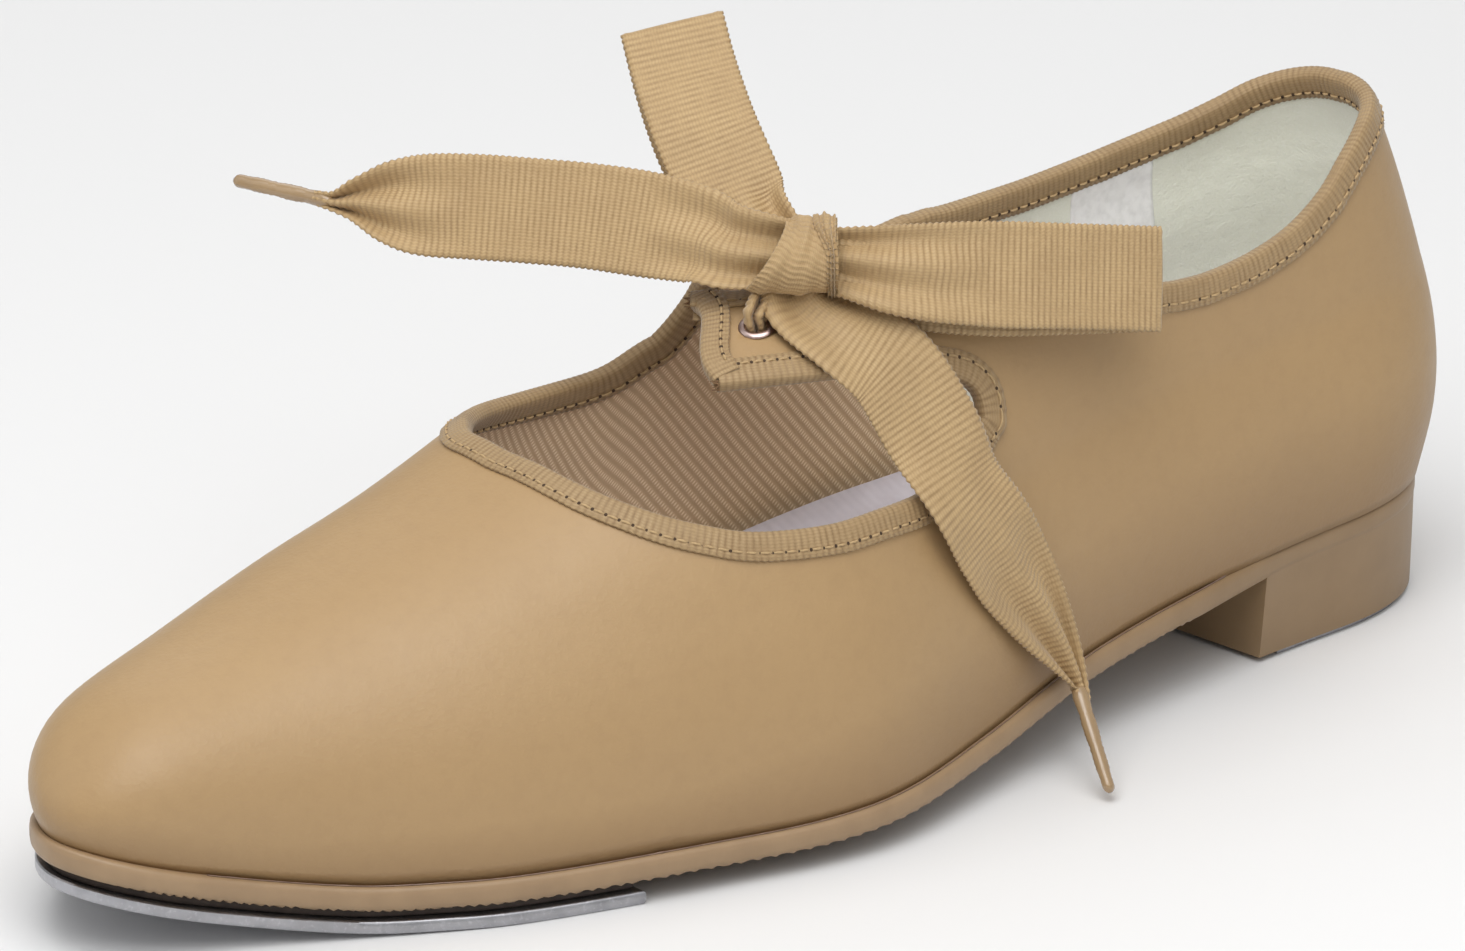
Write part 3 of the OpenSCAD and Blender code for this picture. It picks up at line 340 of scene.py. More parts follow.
class Mat:
    """A small builder for one node material."""

    def __init__(self, name, colour, rough, **sockets):
        self.mat = bpy.data.materials.new(name)
        self.mat.use_nodes = True
        self.t = self.mat.node_tree
        self.p = self.t.nodes["Principled BSDF"]
        self.p.inputs["Base Color"].default_value = colour
        self.p.inputs["Roughness"].default_value = rough
        for k, v in sockets.items():
            self.p.inputs[k.replace("_", " ")].default_value = v
        self.bump_in = None

    def node(self, kind, **values):
        """A node, with each value set on its socket, linked to it, or set on the node itself."""
        n = self.t.nodes.new(kind)
        for k, v in values.items():
            k = k.replace("_", " ") if k[0].isupper() else k
            if k not in n.inputs:
                setattr(n, k, v)
            elif isinstance(v, bpy.types.NodeSocket):
                self.link(v, n.inputs[k])
            else:
                n.inputs[k].default_value = v
        return n

    def link(self, a, b):
        self.t.links.new(a, b)

    def place(self, uv=False, scale=(1, 1, 1), turn=0.0):
        """Coordinates in metres: object space, or along the cloth."""
        if uv:
            src = self.node("ShaderNodeUVMap", uv_map="cloth").outputs[0]
        else:
            src = self.node("ShaderNodeTexCoord").outputs["Object"]
        return self.node("ShaderNodeMapping", Vector=src, Scale=scale, Rotation=(0, 0, math.radians(turn))).outputs[0]

    def noise(self, scale, detail=3.0, rough=0.5, coord=None):
        return self.node("ShaderNodeTexNoise", Vector=coord or self.place(), Scale=scale, Detail=detail,
                         Roughness=rough).outputs[0]

    def cells(self, scale):
        return self.node("ShaderNodeTexVoronoi", Vector=self.place(), Scale=scale).outputs[0]

    def wave(self, pitch, uv=True, turn=0.0, distortion=0.0, axis="X"):
        """Ribs of one pitch, in mm, 0 to 1."""
        return self.node("ShaderNodeTexWave", bands_direction=axis, wave_profile="SIN", Distortion=distortion,
                         Scale=100.0 * math.pi / pitch, Vector=self.place(uv=uv, turn=turn)).outputs["Fac"]

    def ramp(self, fac, lo, hi, a=0.0, b=1.0, kind="LINEAR"):
        return self.node("ShaderNodeMapRange", interpolation_type=kind, Value=fac, From_Min=lo, From_Max=hi,
                         To_Min=a, To_Max=b).outputs[0]

    def math(self, op, a, b):
        n = self.node("ShaderNodeMath", operation=op)
        for i, v in enumerate((a, b)):
            if isinstance(v, (int, float)):
                n.inputs[i].default_value = v
            else:
                self.link(v, n.inputs[i])
        return n.outputs[0]

    def tint(self, fac, colour):
        """Mixes a colour over the base colour where fac is 1."""
        n = self.node("ShaderNodeMix", data_type="RGBA")
        self.link(fac, n.inputs[0])
        src = self.p.inputs["Base Color"]
        if src.is_linked:
            self.link(src.links[0].from_socket, n.inputs[6])
        else:
            n.inputs[6].default_value = src.default_value
        n.inputs[7].default_value = colour
        self.link(n.outputs[2], src)

    def mottle(self, scale, detail, lo, hi, amount, colour, rough=0.5):
        """Tints in patches, where the noise is between lo and hi."""
        self.tint(self.ramp(self.noise(scale, detail, rough), lo, hi, 0, amount), colour)

    def roughen(self, fac, a, b):
        self.link(self.ramp(fac, 0, 1, a, b), self.p.inputs["Roughness"])

    def bump(self, height, distance, strength):
        """distance in mm of relief."""
        n = self.node("ShaderNodeBump", Strength=strength, Distance=distance * MM, Height=height)
        if self.bump_in is not None:
            self.link(self.bump_in, n.inputs["Normal"])
        self.bump_in = n.outputs[0]
        self.link(self.bump_in, self.p.inputs["Normal"])

    def part(self, vector, axis):
        """One axis of a vector."""
        return self.node("ShaderNodeSeparateXYZ", Vector=vector).outputs[axis]

    def height(self):
        """Height above the floor in mm."""
        return self.math("MULTIPLY", self.part(self.place(), 2), 1 / MM)

    def shade_above_sole(self):
        """From 0 at the outsole's top edge to 1 where the painted shade on the upper's lower part stops."""
        y = self.part(self.place(), 1)
        rise = self.ramp(y, -0.005, 0.09, FOREFOOT_TOP, HEEL_TOP, "SMOOTHSTEP")
        toe = self.ramp(y, -0.1, -0.13, 0.0, TOE_SPRING, "SMOOTHSTEP")
        above = self.math("SUBTRACT", self.height(), self.math("ADD", rise, toe))
        return self.math("DIVIDE", above, self.ramp(y, -0.05, 0.02, *SHADE_REACH, "SMOOTHSTEP"))


def leather():
    m = Mat("tan_upper", rgb(172, 142, 101), 0.45, Specular_IOR_Level=0.38, Coat_Weight=0.08, Coat_Roughness=0.3)
    m.mottle(28, 2, 0.35, 0.75, 0.3, rgb(164, 134, 96))
    m.mottle(420, 4, 0.45, 0.8, 0.22, rgb(156, 126, 90))
    m.roughen(m.noise(160, 3), 0.38, 0.52)
    # painted shade: the upper darkens towards the sole
    m.tint(m.ramp(m.shade_above_sole(), 1.0, 0.0, 0.0, 0.5), rgb(122, 94, 66))
    m.bump(m.noise(2400, 3, 0.6), 0.07, 0.45)
    m.bump(m.cells(1150), 0.08, 0.45)
    m.bump(m.noise(90, 2), 0.25, 0.35)
    return m.mat


# pitch of the ribs of ribbon and tape, and of the outsole's tread
RIB, TAPE_RIB, TREAD_RIB = 1.07, 1.0, 1.45


def grosgrain(name, colour, groove, light):
    m = Mat(name, colour, 0.62, Sheen_Weight=0.25, Sheen_Roughness=0.4)
    ribs = m.wave(RIB)
    # painted shade in the rib grooves and painted highlight on the rib tops, both uneven in patches
    uneven_rib_paint = m.ramp(m.noise(420, 3), 0.35, 0.65, 0.35, 1.0)
    m.tint(m.math("MULTIPLY", m.ramp(ribs, 0.0, 0.45, 0.6, 0.0), uneven_rib_paint), groove)
    m.tint(m.math("MULTIPLY", m.ramp(ribs, 0.6, 1.0, 0.0, 0.5), uneven_rib_paint), light)
    m.tint(m.ramp(m.noise(140, 3), 0.4, 0.8, 0, 0.3), groove)
    m.tint(m.ramp(m.noise(1500, 4, 0.7), 0.5, 0.75, 0, 0.45), light)
    warp = m.wave(0.5, axis="Y", distortion=1.4)
    # painted shade between the warp threads
    m.tint(m.ramp(warp, 0.0, 0.6, 0.22, 0.0), groove)
    m.bump(warp, 0.06, 0.5)
    m.bump(m.noise(3800, 2), 0.05, 0.4)
    return m.mat


LEATHER = leather()
# each grosgrain's second colour is painted shade in the rib grooves and between the warp threads, and also random
# darker patches; its third is painted highlight on the rib tops, and also random pale flecks
RIBBON = grosgrain("ribbon", rgb(182, 153, 109), rgb(142, 113, 76), rgb(196, 169, 127))
TAPE = grosgrain("binding_tape", rgb(162, 135, 96), rgb(122, 95, 62), rgb(180, 154, 114))


def twill():
    m = Mat("twill_lining", rgb(214, 184, 146), 0.85, Sheen_Weight=0.15)
    ribs = m.wave(1.3, turn=-33, distortion=0.2)
    glint_cross_ribs = m.wave(0.6, turn=50, distortion=0.2)
    # painted shade in the twill's grooves
    m.tint(m.ramp(ribs, 0.0, 0.5, 0.35, 0.0), rgb(178, 146, 112))
    # painted highlight on the thread tops where the two rib sets cross
    m.tint(m.ramp(m.math("MULTIPLY", ribs, glint_cross_ribs), 0.25, 0.8, 0.0, 0.9), rgb(255, 236, 206))
    m.mottle(1400, 3, 0.4, 0.8, 0.3, rgb(226, 198, 162))
    m.bump(ribs, 0.10, 0.6)
    m.bump(m.noise(3000, 2), 0.1, 0.5)
    return m.mat


def felt():
    m = Mat("felt_lining", rgb(242, 244, 230), 0.95, Sheen_Weight=0.4)
    m.mottle(60, 3, 0.35, 0.7, 0.5, rgb(228, 228, 212))
    m.mottle(2200, 4, 0.5, 0.8, 0.4, rgb(250, 251, 244))
    m.bump(m.noise(2400, 4, 0.7), 0.2, 0.7)
    m.bump(m.noise(300, 3), 0.6, 0.6)
    return m.mat


def plain(name, colour, rough, noise_scale, dark, amount=0.4, relief=0.05, **kw):
    m = Mat(name, colour, rough, **kw)
    m.mottle(noise_scale, 4, 0.4, 0.75, amount, dark)
    m.bump(m.noise(noise_scale * 3, 3), relief, 0.5)
    return m


def sock_cloth():
    m = plain("sock_foam", rgb(220, 216, 226), 0.9, 300, rgb(196, 190, 200), 0.4, 0.1)
    m.bump(m.wave(1.6, uv=False, axis="Y"), 0.15, 0.5)
    return m.mat


def sole_rubber():
    m = plain("sole", rgb(158, 131, 99), 0.5, 160, rgb(136, 111, 83), 0.5, 0.08, Coat_Weight=0.1, Coat_Roughness=0.3)
    # painted shade: the sole and heel darken within a few mm of the floor
    m.tint(m.ramp(m.height(), 1.0, 7.0, 0.2, 0.0), rgb(104, 84, 64))
    # painted shade: the rear of the sole and the heel block darker
    m.tint(m.ramp(m.part(m.place(), 1), 0.03, 0.075, 0.0, 0.5), rgb(132, 107, 74))
    facing = m.part(m.node("ShaderNodeNewGeometry").outputs["True Normal"], 2)
    tread = m.math("MULTIPLY", m.wave(TREAD_RIB, uv=False, axis="Y"), m.ramp(facing, -0.6, -0.9))
    m.tint(tread, rgb(120, 97, 72))
    m.bump(tread, 0.5, 0.8)
    return m.mat


def tap_alloy():
    m = Mat("tap_metal", rgb(176, 176, 180), 0.34, Metallic=1.0)
    m.mottle(220, 5, 0.42, 0.72, 0.6, rgb(140, 140, 144), 0.6)
    m.mottle(1500, 2, 0.55, 0.8, 0.6, rgb(206, 206, 210))
    m.roughen(m.noise(380, 4), 0.24, 0.52)
    m.bump(m.noise(700, 5, 0.65), 0.12, 0.5)
    scratches = m.noise(240, 2, coord=m.place(scale=(1, 9, 1), turn=24))
    m.bump(scratches, 0.05, 0.4)
    return m.mat


TWILL, FELT, SOCK, SOLE, TAP = twill(), felt(), sock_cloth(), sole_rubber(), tap_alloy()
THREAD, HOLE_SHADE, LABEL, BOARD, FRAYED, BACKING, STIFF = (plain(*row).mat for row in (
    ("thread", rgb(186, 158, 116), 0.7, 2500, rgb(140, 112, 78), 0.5, 0.05),
    # painted shade: dark discs that stand for the shade inside the needle holes
    ("needle_hole_shade", rgb(70, 52, 36), 0.9, 900, rgb(48, 36, 26), 0.5),
    ("label", rgb(250, 250, 250), 0.8, 700, rgb(208, 208, 208), 0.4, 0.06),
    ("board", rgb(140, 110, 80), 0.85, 500, rgb(110, 84, 60), 0.5, 0.08),
    ("burnt_tape_end", rgb(128, 98, 66), 0.8, 1200, rgb(66, 44, 28), 0.6),
    ("backing", rgb(74, 64, 58), 0.8, 400, rgb(38, 32, 30), 0.5, 0.08),
    ("stiffener", rgb(222, 216, 202), 0.8, 300, rgb(196, 188, 172), 0.4, 0.08)))
COPPER, STEEL, SCREW = (plain(*row, 0.03, Metallic=1.0).mat for row in (
    ("eyelet_metal", rgb(204, 182, 176), 0.3, 500, rgb(172, 144, 136), 0.5),
    ("shank_steel", rgb(170, 170, 174), 0.35, 300, rgb(130, 130, 134), 0.4),
    ("screw_steel", rgb(190, 190, 194), 0.28, 700, rgb(130, 130, 134), 0.5)))
ADHESIVE = plain("adhesive", rgb(136, 112, 96), 0.3, 600, rgb(84, 60, 48), 0.6, Coat_Weight=0.4).mat
FILM = plain("aglet_film", rgb(160, 134, 100), 0.18, 260, rgb(140, 116, 86), 0.5, 0.04, Coat_Weight=0.6).mat

# ---- Upper and linings ----
N_VAMP, N_WINDOW, N_TAB, N_QUARTER = 46, 40, 32, 34
ROWS, LINING_ROWS, TAB_ROWS, TAB_LENGTH = 34, 22, 52, 45
TOE_Y = -HALF + FEATHER_IN + 0.02
HEEL_Y = HALF - FEATHER_IN - 0.02
UPPER_SKIN, TWILL_T, FELT_T = 1.05, 0.45, 0.75
# the lining's depth under the upper's face, what a stiffener adds, and where puff and counter begin
LINING_IN, STIFFENER_IN, PUFF_Y, COUNTER_Y, COUNTER_TOP = 1.38, 1.2, -86.0, 66.0, 0.85
LINING_FOOT = 1.9


def stations(side):
    """[y, top angle] of every column from the toe to the heel."""
    front, rear = TAB_ROOT[side]
    i = np.arange(N_VAMP) / N_VAMP
    vamp = TOE_Y + (THROAT_Y - TOE_Y) * (1 - np.cos(np.pi / 2 * i))
    window = THROAT_Y + (front - THROAT_Y) * (np.arange(N_WINDOW) / N_WINDOW) ** 1.8
    tab = front + (rear - front) * np.arange(N_TAB) / N_TAB
    quarter = rear + (HEEL_Y - rear) * np.sin(np.pi / 2 * np.arange(N_QUARTER + 1) / N_QUARTER)
    y = np.concatenate([vamp, window, tab, quarter])
    top = np.where(np.arange(len(y)) <= N_VAMP, 90.0, edge_angle(side, y))
    return y, top


COLS = [stations(0), stations(1)]
SIDE_N = len(COLS[0][0])


def share_at(y, top, up):
    """Share of a column's angle at which the wall stands up above the feather."""
    rise = np.clip(up / np.maximum(wall_height(y), 1), 0, 0.9)
    return np.degrees(np.arcsin(rise ** (1 / curve(rise_power, part_of(y))))) / top


def skin(depth, up, pick, rows, round_heel):
    """Points of a skin inside the upper, ring column by ring column."""
    ring = [(0, i) for i in range(SIDE_N - 1, -1, -1)] + [(1, i) for i in range(SIDE_N)]
    if round_heel:
        ring = ring[SIDE_N:] + ring[:SIDE_N]
    ring = [(side, i) for side, i in ring if pick(COLS[side][0][i])]
    pts, uv = [], []
    t = np.linspace(0, 1, rows + 1)
    for side, i in ring:
        y, top = COLS[side][0][i], COLS[side][1][i]
        lo = share_at(y, top, up) if up else 0.0
        a = top * (lo + (1 - lo) * t)
        col = on_last(np.full_like(t, y), phi_of(side, a), -depth(y, t))
        pts.append(col)
        run = run_of(col)
        if i > N_VAMP:
            run = run - run[-1]
        uv.append(np.stack([np.full_like(t, y * (1 if side else -1)), run], -1) * MM)
    return np.array(pts), np.array(uv)


def tab_patch(side, depth):
    a, b = np.meshgrid(np.arange(N_TAB + 1) / N_TAB, np.arange(TAB_ROWS + 1) / TAB_ROWS, indexing="ij")
    pts = tab_place(side, a, b, -depth)
    return pts, np.stack([pts[..., 1] * (1 if side else -1), b * TAB_LENGTH], -1) * MM


def wall(name, depth, up, pick, mat, node, slot, thick, tabs=True, wrap=False, rows=ROWS, round_heel=False):
    """A skin of the shoe: its sides and toe or heel, and its tabs, given thickness inward."""
    pts, uv = skin(depth, up, pick, rows, round_heel)
    parts, uvs = [(pts.reshape(-1, 3), grid_faces(*pts.shape[:2], wrap_n=wrap))], [uv.reshape(-1, 2)]
    if tabs:
        for side in (0, 1):
            tab, tab_uv = tab_patch(side, depth(0, np.ones(1))[0])
            parts.append((tab.reshape(-1, 3), grid_faces(*tab.shape[:2], flip=side == 0)))
            uvs.append(tab_uv.reshape(-1, 2))
    ob = make(name, *join(parts), mat, [node], slot, np.concatenate(uvs), merge=0.02)
    inside = Vector((0, 0, 0.03))
    with editing(ob.data) as bm:
        bmesh.ops.recalc_face_normals(bm, faces=bm.faces)
        if sum(f.normal.dot(f.calc_center_median() - inside) for f in bm.faces) < 0:
            bmesh.ops.reverse_faces(bm, faces=bm.faces)
    solidify(ob, thick)
    return ob


def lining_depth(y, t):
    """The linings step in behind the toe puff and the heel counter."""
    puff = ease((PUFF_Y + 7 - y) / 7)
    heel = ease((y - COUNTER_Y + 8) / 8) * ease((COUNTER_TOP - t) / 0.2)
    return LINING_IN + STIFFENER_IN * np.maximum(puff, heel)


upper = wall("shoe_upper", lambda y, t: 0.0 * t, 0, lambda y: True, LEATHER, "upper", "upper", UPPER_SKIN, wrap=True)
twill_lining = wall("vamp_lining_cloth", lining_depth, LINING_FOOT, lambda y: y < 57, TWILL, "vamp_lining",
                    "twill_lining", TWILL_T, rows=LINING_ROWS)
wall("heel_lining_felt", lining_depth, LINING_FOOT, lambda y: y > 55, FELT, "heel_lining", "felt_lining", FELT_T,
     tabs=False, rows=LINING_ROWS, round_heel=True)


# ---- Edge binding, its stitches and its frayed corners ----
def pick_at(q, s, values):
    """Values along a path, picked at the lengths q."""
    return np.stack([np.interp(q, s, values[:, k]) for k in range(3)], -1)


def resample(pts, normals, step):
    """Even steps along a smooth path, with normals carried along."""
    s = run_of(pts)
    q = np.linspace(0, s[-1], max(int(round(s[-1] / step)), 2) + 1)
    return pick_at(q, s, pts), unit(pick_at(q, s, normals)), q


def smooth_rows(a, passes):
    a = np.array(a, float)
    for _ in range(passes):
        a[1:-1] = (a[:-2] + 2 * a[1:-1] + a[2:]) / 4
    return a


def square_to(n, t):
    """n made square to the way t."""
    return unit(n - t * np.sum(n * t, -1, keepdims=True))


def tab_side(side, across, down):
    """One edge of a tab, from its end down to its root or back up."""
    b = np.linspace(1, 0, 60) if down else np.linspace(0, 1, 60)
    a = np.full_like(b, across)
    return tab_place(side, a, b, np.zeros_like(b)), tab_normal(side, a, b)


def base_side(side, y0, y1, power):
    """The topline between two stations."""
    y = y0 + (y1 - y0) * np.linspace(0, 1, 160) ** power
    a = phi_of(side, edge_angle(side, y))
    return last(y, a), last_normal(y, a)


TAPE_STEP = 0.22


def joined_path(*parts):
    p = np.concatenate([q[0] for q in parts])
    n = np.concatenate([q[1] for q in parts])
    keep = np.concatenate([[True], np.linalg.norm(np.diff(p, axis=0), axis=1) > 1e-4])
    p, n, _ = resample(p[keep], n[keep], 0.5)
    n = unit(smooth_rows(n, 4))
    return resample(p, n, TAPE_STEP)


def rev(part):
    return part[0][::-1], part[1][::-1]


FRONT = joined_path(
    tab_side(0, 0, True), rev(base_side(0, THROAT_Y, TAB_ROOT[0][0], 2.0)),
    base_side(1, THROAT_Y, TAB_ROOT[1][0], 2.0), tab_side(1, 0, False))
COLLAR = joined_path(
    tab_side(1, 1, True), base_side(1, TAB_ROOT[1][1], HEEL_Y, 0.6),
    rev(base_side(0, TAB_ROOT[0][1], HEEL_Y, 0.6)), tab_side(0, 1, False))

# the tape's section as it goes round the edge: (out of the wall, into the material)
TAPE_LEG = 3.9
TAPE_SECTION = np.array([
    (0.08, TAPE_LEG), (0.34, TAPE_LEG + 0.1), (0.56, TAPE_LEG), (0.62, 3.3), (0.64, 2.4), (0.64, 1.3),
    (0.60, 0.4), (0.42, -0.25), (0.0, -0.62), (-0.6, -0.66), (-1.3, -0.66), (-1.9, -0.46), (-2.25, 0.0),
    (-2.42, 0.8), (-2.5, 2.0), (-2.55, 3.2), (-2.52, TAPE_LEG), (-2.3, TAPE_LEG + 0.1), (-2.15, TAPE_LEG),
    (-2.0, 1.4), (-1.8, 0.1), (-0.9, -0.2), (0.06, 0.1)])
TAPE_MIDDLE = (-0.9, 1.6)
# points of the section on its ribbed face, and those of its outer leg
TAPE_RIBBED, TAPE_OUTER_LEG = 18, 8
TAPE_RIB_DEPTH, TAPE_EDGE_WAVER, TAPE_LOOSE = 0.07, 0.12, 0.10


def tape(name, path, node):
    p, n, s = path
    t = unit(smooth_rows(unit(np.gradient(p, axis=0)), 6))
    n = square_to(n, t)
    b = np.cross(n, t)
    out = unit((TAPE_SECTION - TAPE_MIDDLE) * [1.6, 0.35])
    rng = np.random.default_rng(len(name))
    waver = smooth_rows(rng.normal(0, 1, len(s)), 60)
    waver /= max(np.abs(waver).max(), 1e-6)
    ribs = np.cos(2 * np.pi * s / TAPE_RIB)
    ribbed = np.arange(len(TAPE_SECTION)) < TAPE_RIBBED
    across = run_of(TAPE_SECTION)
    rings, uvs = [], []
    for i in range(len(s)):
        q = TAPE_SECTION.copy()
        q[:, 1] += np.where(q[:, 1] > 0.5, TAPE_EDGE_WAVER * waver[i] + 0.05 * ribs[i], 0)
        q += out * (TAPE_RIB_DEPTH * (ribs[i] * 0.5 - 0.5) * ribbed)[:, None]
        q[:TAPE_OUTER_LEG, 0] += TAPE_LOOSE * waver[(i * 3) % len(s)] * (q[:TAPE_OUTER_LEG, 1] > 0)
        rings.append(p[i] + q[:, :1] * n[i] + q[:, 1:] * b[i])
        uvs.append(np.stack([np.full(len(q), s[i]), across], -1) * MM)
    make(name, *tube(rings), TAPE, [node], "binding_tape", uvs)
    return p, n, b, s


STITCH_PITCH, STITCH_INSET, STITCH_START = 2.05, 2.75, 1.5
THREAD_R, THREAD_ARCH = 0.21, 0.20


def stitches(name, path, nodes=(), lift=0.62, face=1):
    """One short thread after another, each dipping into a needle hole."""
    p, n, b, s = path
    n = n * face
    threads, holes = [], []
    q = STITCH_START
    while q < s[-1] - STITCH_START - STITCH_PITCH:
        rings = []
        for u in np.linspace(0, 1, 7):
            c = q + STITCH_PITCH * (0.12 + 0.76 * u)
            arch = math.sin(math.pi * u)
            nn, bb = pick_at(c, s, n), pick_at(c, s, b)
            centre = pick_at(c, s, p) + bb * STITCH_INSET + nn * (lift - 0.12 + THREAD_ARCH * arch)
            rings.append(ring_of(centre, THREAD_R * (0.6 + 0.4 * arch), nn, bb, 6))
        threads.append(tube(rings))
        # a small dark disc down in each needle hole, painted shade for the hole
        nn, bb = pick_at(q, s, n), pick_at(q, s, b)
        centre = pick_at(q, s, p) + bb * STITCH_INSET + nn * (lift - 0.13)
        holes.append(tube([ring_of(centre + nn * h, r, np.cross(nn, bb), bb, 8)
                           for h, r in ((-0.1, 0.26), (0.09, 0.30), (0.13, 0.2))]))
        q += STITCH_PITCH
    make(name, *join(threads), THREAD, nodes, "thread")
    make(name + "_needle_holes", *join(holes), HOLE_SHADE, [], "thread")


for name, path, node in (("front", FRONT, "front_binding"), ("collar", COLLAR, "collar_binding")):
    frames = tape(name + "_binding_tape", path, node)
    stitches(name + "_binding_stitches", frames, [node + "_stitching"])
    stitches(name + "_binding_inner_stitches", frames, lift=2.66, face=-1)

for side, name in ((0, "lateral"), (1, "medial")):
    a = np.linspace(0.97, 0.03, 50) if side == 0 else np.linspace(0.03, 0.97, 50)
    b = np.ones_like(a)
    end = joined_path((tab_place(side, a, b, 0.12), tab_normal(side, a, b)))
    frames = tape(name + "_tab_end_tape", end, name + "_tab_binding")
    stitches(name + "_tab_end_stitches", frames, lift=0.74)


def fibres(name, at, along, normal, count):
    """Short loose ends where a tape was cut."""
    rng = np.random.default_rng(3)
    side = np.cross(normal, along)
    parts = []
    for _ in range(count):
        root = at + side * rng.uniform(-1.6, 1.6) + normal * rng.uniform(-0.9, 0.7) - along * 0.4
        way = unit(along + side * rng.normal(0, 0.7) + normal * rng.normal(0, 0.6))
        curl = rng.normal(0, 0.25, 3)
        length, r = rng.uniform(0.5, 1.1), rng.uniform(0.12, 0.2)
        parts.append(tube([ring_of(root + way * length * u + curl * u * u, r * (1 - 0.6 * u), side, normal, 5)
                           for u in np.linspace(0, 1, 6)]))
    outward(make(name, *join(parts), FRAYED, [], "binding_tape"))


for a, end in ((0.03, "front"), (0.97, "rear")):
    at = tab_place(0, a, 1.0, 0.1)
    out = unit(at - tab_place(0, a, 0.94, 0.1))
    fibres("lateral_tab_" + end + "_frayed_end", at + out * 0.4, out, tab_normal(0, a, 1.0), 22)

# ---- Outsole, heel, taps, board and sock: stacks of outlines with softened edges ----
REAR_N = 14


def closed_rear(one, other):
    """Points across a straight rear edge, between its two ends."""
    k = np.linspace(0, 1, REAR_N + 2)[1:-1, None]
    return one * (1 - k) + other * k


def outline(inset, y_end=None, n=96):
    """A closed loop of [x, y] round the sole, lateral side first, to the heel or cut off at y_end."""
    u = np.linspace(0, 1, n)
    if y_end is None:
        y = -(HALF - inset - 0.02) * np.cos(np.pi * u)
    else:
        toe = -HALF + inset + 0.02
        y = toe + (y_end - toe) * (1 - np.cos(np.pi / 2 * u))
    right = np.stack([mid_at(y) + half_at(y, inset), y], -1)
    left = np.stack([mid_at(y) - half_at(y, inset), y], -1)[::-1]
    if y_end is None:
        return np.concatenate([right, left])
    return np.concatenate([right, closed_rear(right[-1], left[0]), left])


def slab_piece(name, layers, z_of, mat, node, slot, n, cut=True, shape=None):
    """A closed slab through outlines given as (loop, dz); z_of gives the height each dz counts from."""
    rings = np.array([np.concatenate([loop, (z_of(loop[:, 1]) + dz)[:, None]], 1) for loop, dz in layers])
    if shape is not None:
        rings = shape(rings)
    k, m = rings.shape[:2]
    faces = grid_faces(k, m, wrap_m=True, flip=True)
    for lo, step in ((0, 1), ((k - 1) * m, -1)):
        faces += [[lo + i, lo + i + 1, lo + m - 2 - i, lo + m - 1 - i][::step] for i in range(n - 1)]
        if cut:
            faces.append([lo + n - 1 + j for j in range(REAR_N + 2)][::-step])
    return outward(make(name, rings, faces, mat, [node], slot, merge=0.01))


TREAD_DEPTH, TREAD_FROM, TREAD_TO = 0.45, -126.0, 66.0


def sole_ribs(rings):
    """Fine ribs of the forefoot's tread, where they run out at the lower edge."""
    out = rings.copy()
    y = out[..., 1]
    on = np.clip((y - TREAD_FROM) / 8, 0, 1) * np.clip((TREAD_TO - y) / 6, 0, 1)
    wave = np.clip(0.5 + 0.8 * np.sin(2 * np.pi * y / TREAD_RIB), 0, 1)
    out[:3, :, 2] += (TREAD_DEPTH * wave * on)[:3]
    return out


SEAT_IN, SEAT_FRONT, SEAT_RUN, SEAT_MIDDLE = 0.078, 62.0, 28.0, 100.0


def seat_tuck(pts, share=1.0):
    """Draws the heel seat in, so that the upper stands proud of it."""
    k = SEAT_IN * share * ease((pts[..., 1] - SEAT_FRONT) / SEAT_RUN)
    out = pts.copy()
    out[..., 0] *= 1 - 0.8 * k
    out[..., 1] -= np.maximum(pts[..., 1] - SEAT_MIDDLE, 0) * k
    return out


SOLE_N = 420
SOLE_LAYERS = [(2.2, 0.0), (1.0, 0.0), (0.45, 0.12), (0.12, 0.6), (0.0, 1.4), (0.0, 2.6), (0.12, 3.4),
               (0.4, 3.8), (0.9, 3.98), (1.9, 4.0)]
slab_piece("outsole_forepart", [(outline(i, n=SOLE_N), z) for i, z in SOLE_LAYERS], sole_at, SOLE, "outsole",
           "sole", SOLE_N, cut=False, shape=lambda rings: seat_tuck(sole_ribs(rings)))


def adhesive_bead():
    """A thin uneven line of dried adhesive in the joint of upper and sole."""
    rng = np.random.default_rng(8)
    for side, sign in (("lateral", 1), ("medial", -1)):
        y = np.linspace(-112, 124, 700)
        lump = smooth_rows(rng.normal(0, 1, len(y)), 10)
        lump = np.clip(lump / np.abs(lump).max() - 0.25, 0, 1)
        r = 0.10 + 0.55 * lump * (0.35 + 0.65 * ease((y - 60) / 20))
        c = seat_tuck(np.stack([mid_at(y) + sign * half_at(y, 1.0), y, feather_at(y) + 0.12 + 0.1 * lump], -1))
        rings = np.stack(ring_of(c, r[:, None], np.array([sign, 0, 0]), np.array([0, 0, 1.0]), 7), 1)
        outward(make(side + "_adhesive_bead", *tube(rings), ADHESIVE, [], "sole"))


adhesive_bead()

BREAST = (82.0, 76.0)
HEEL_N = 60
HEEL_TAP_T, HEEL_TAP_FRONT, HEEL_TAP_SCALE = 1.0, 4.4, (0.965, 0.975)
HEEL_STEPS = (0.0, 0.12, 0.25, 0.4, 0.55, 0.7, 0.85, 0.96, 1.0)


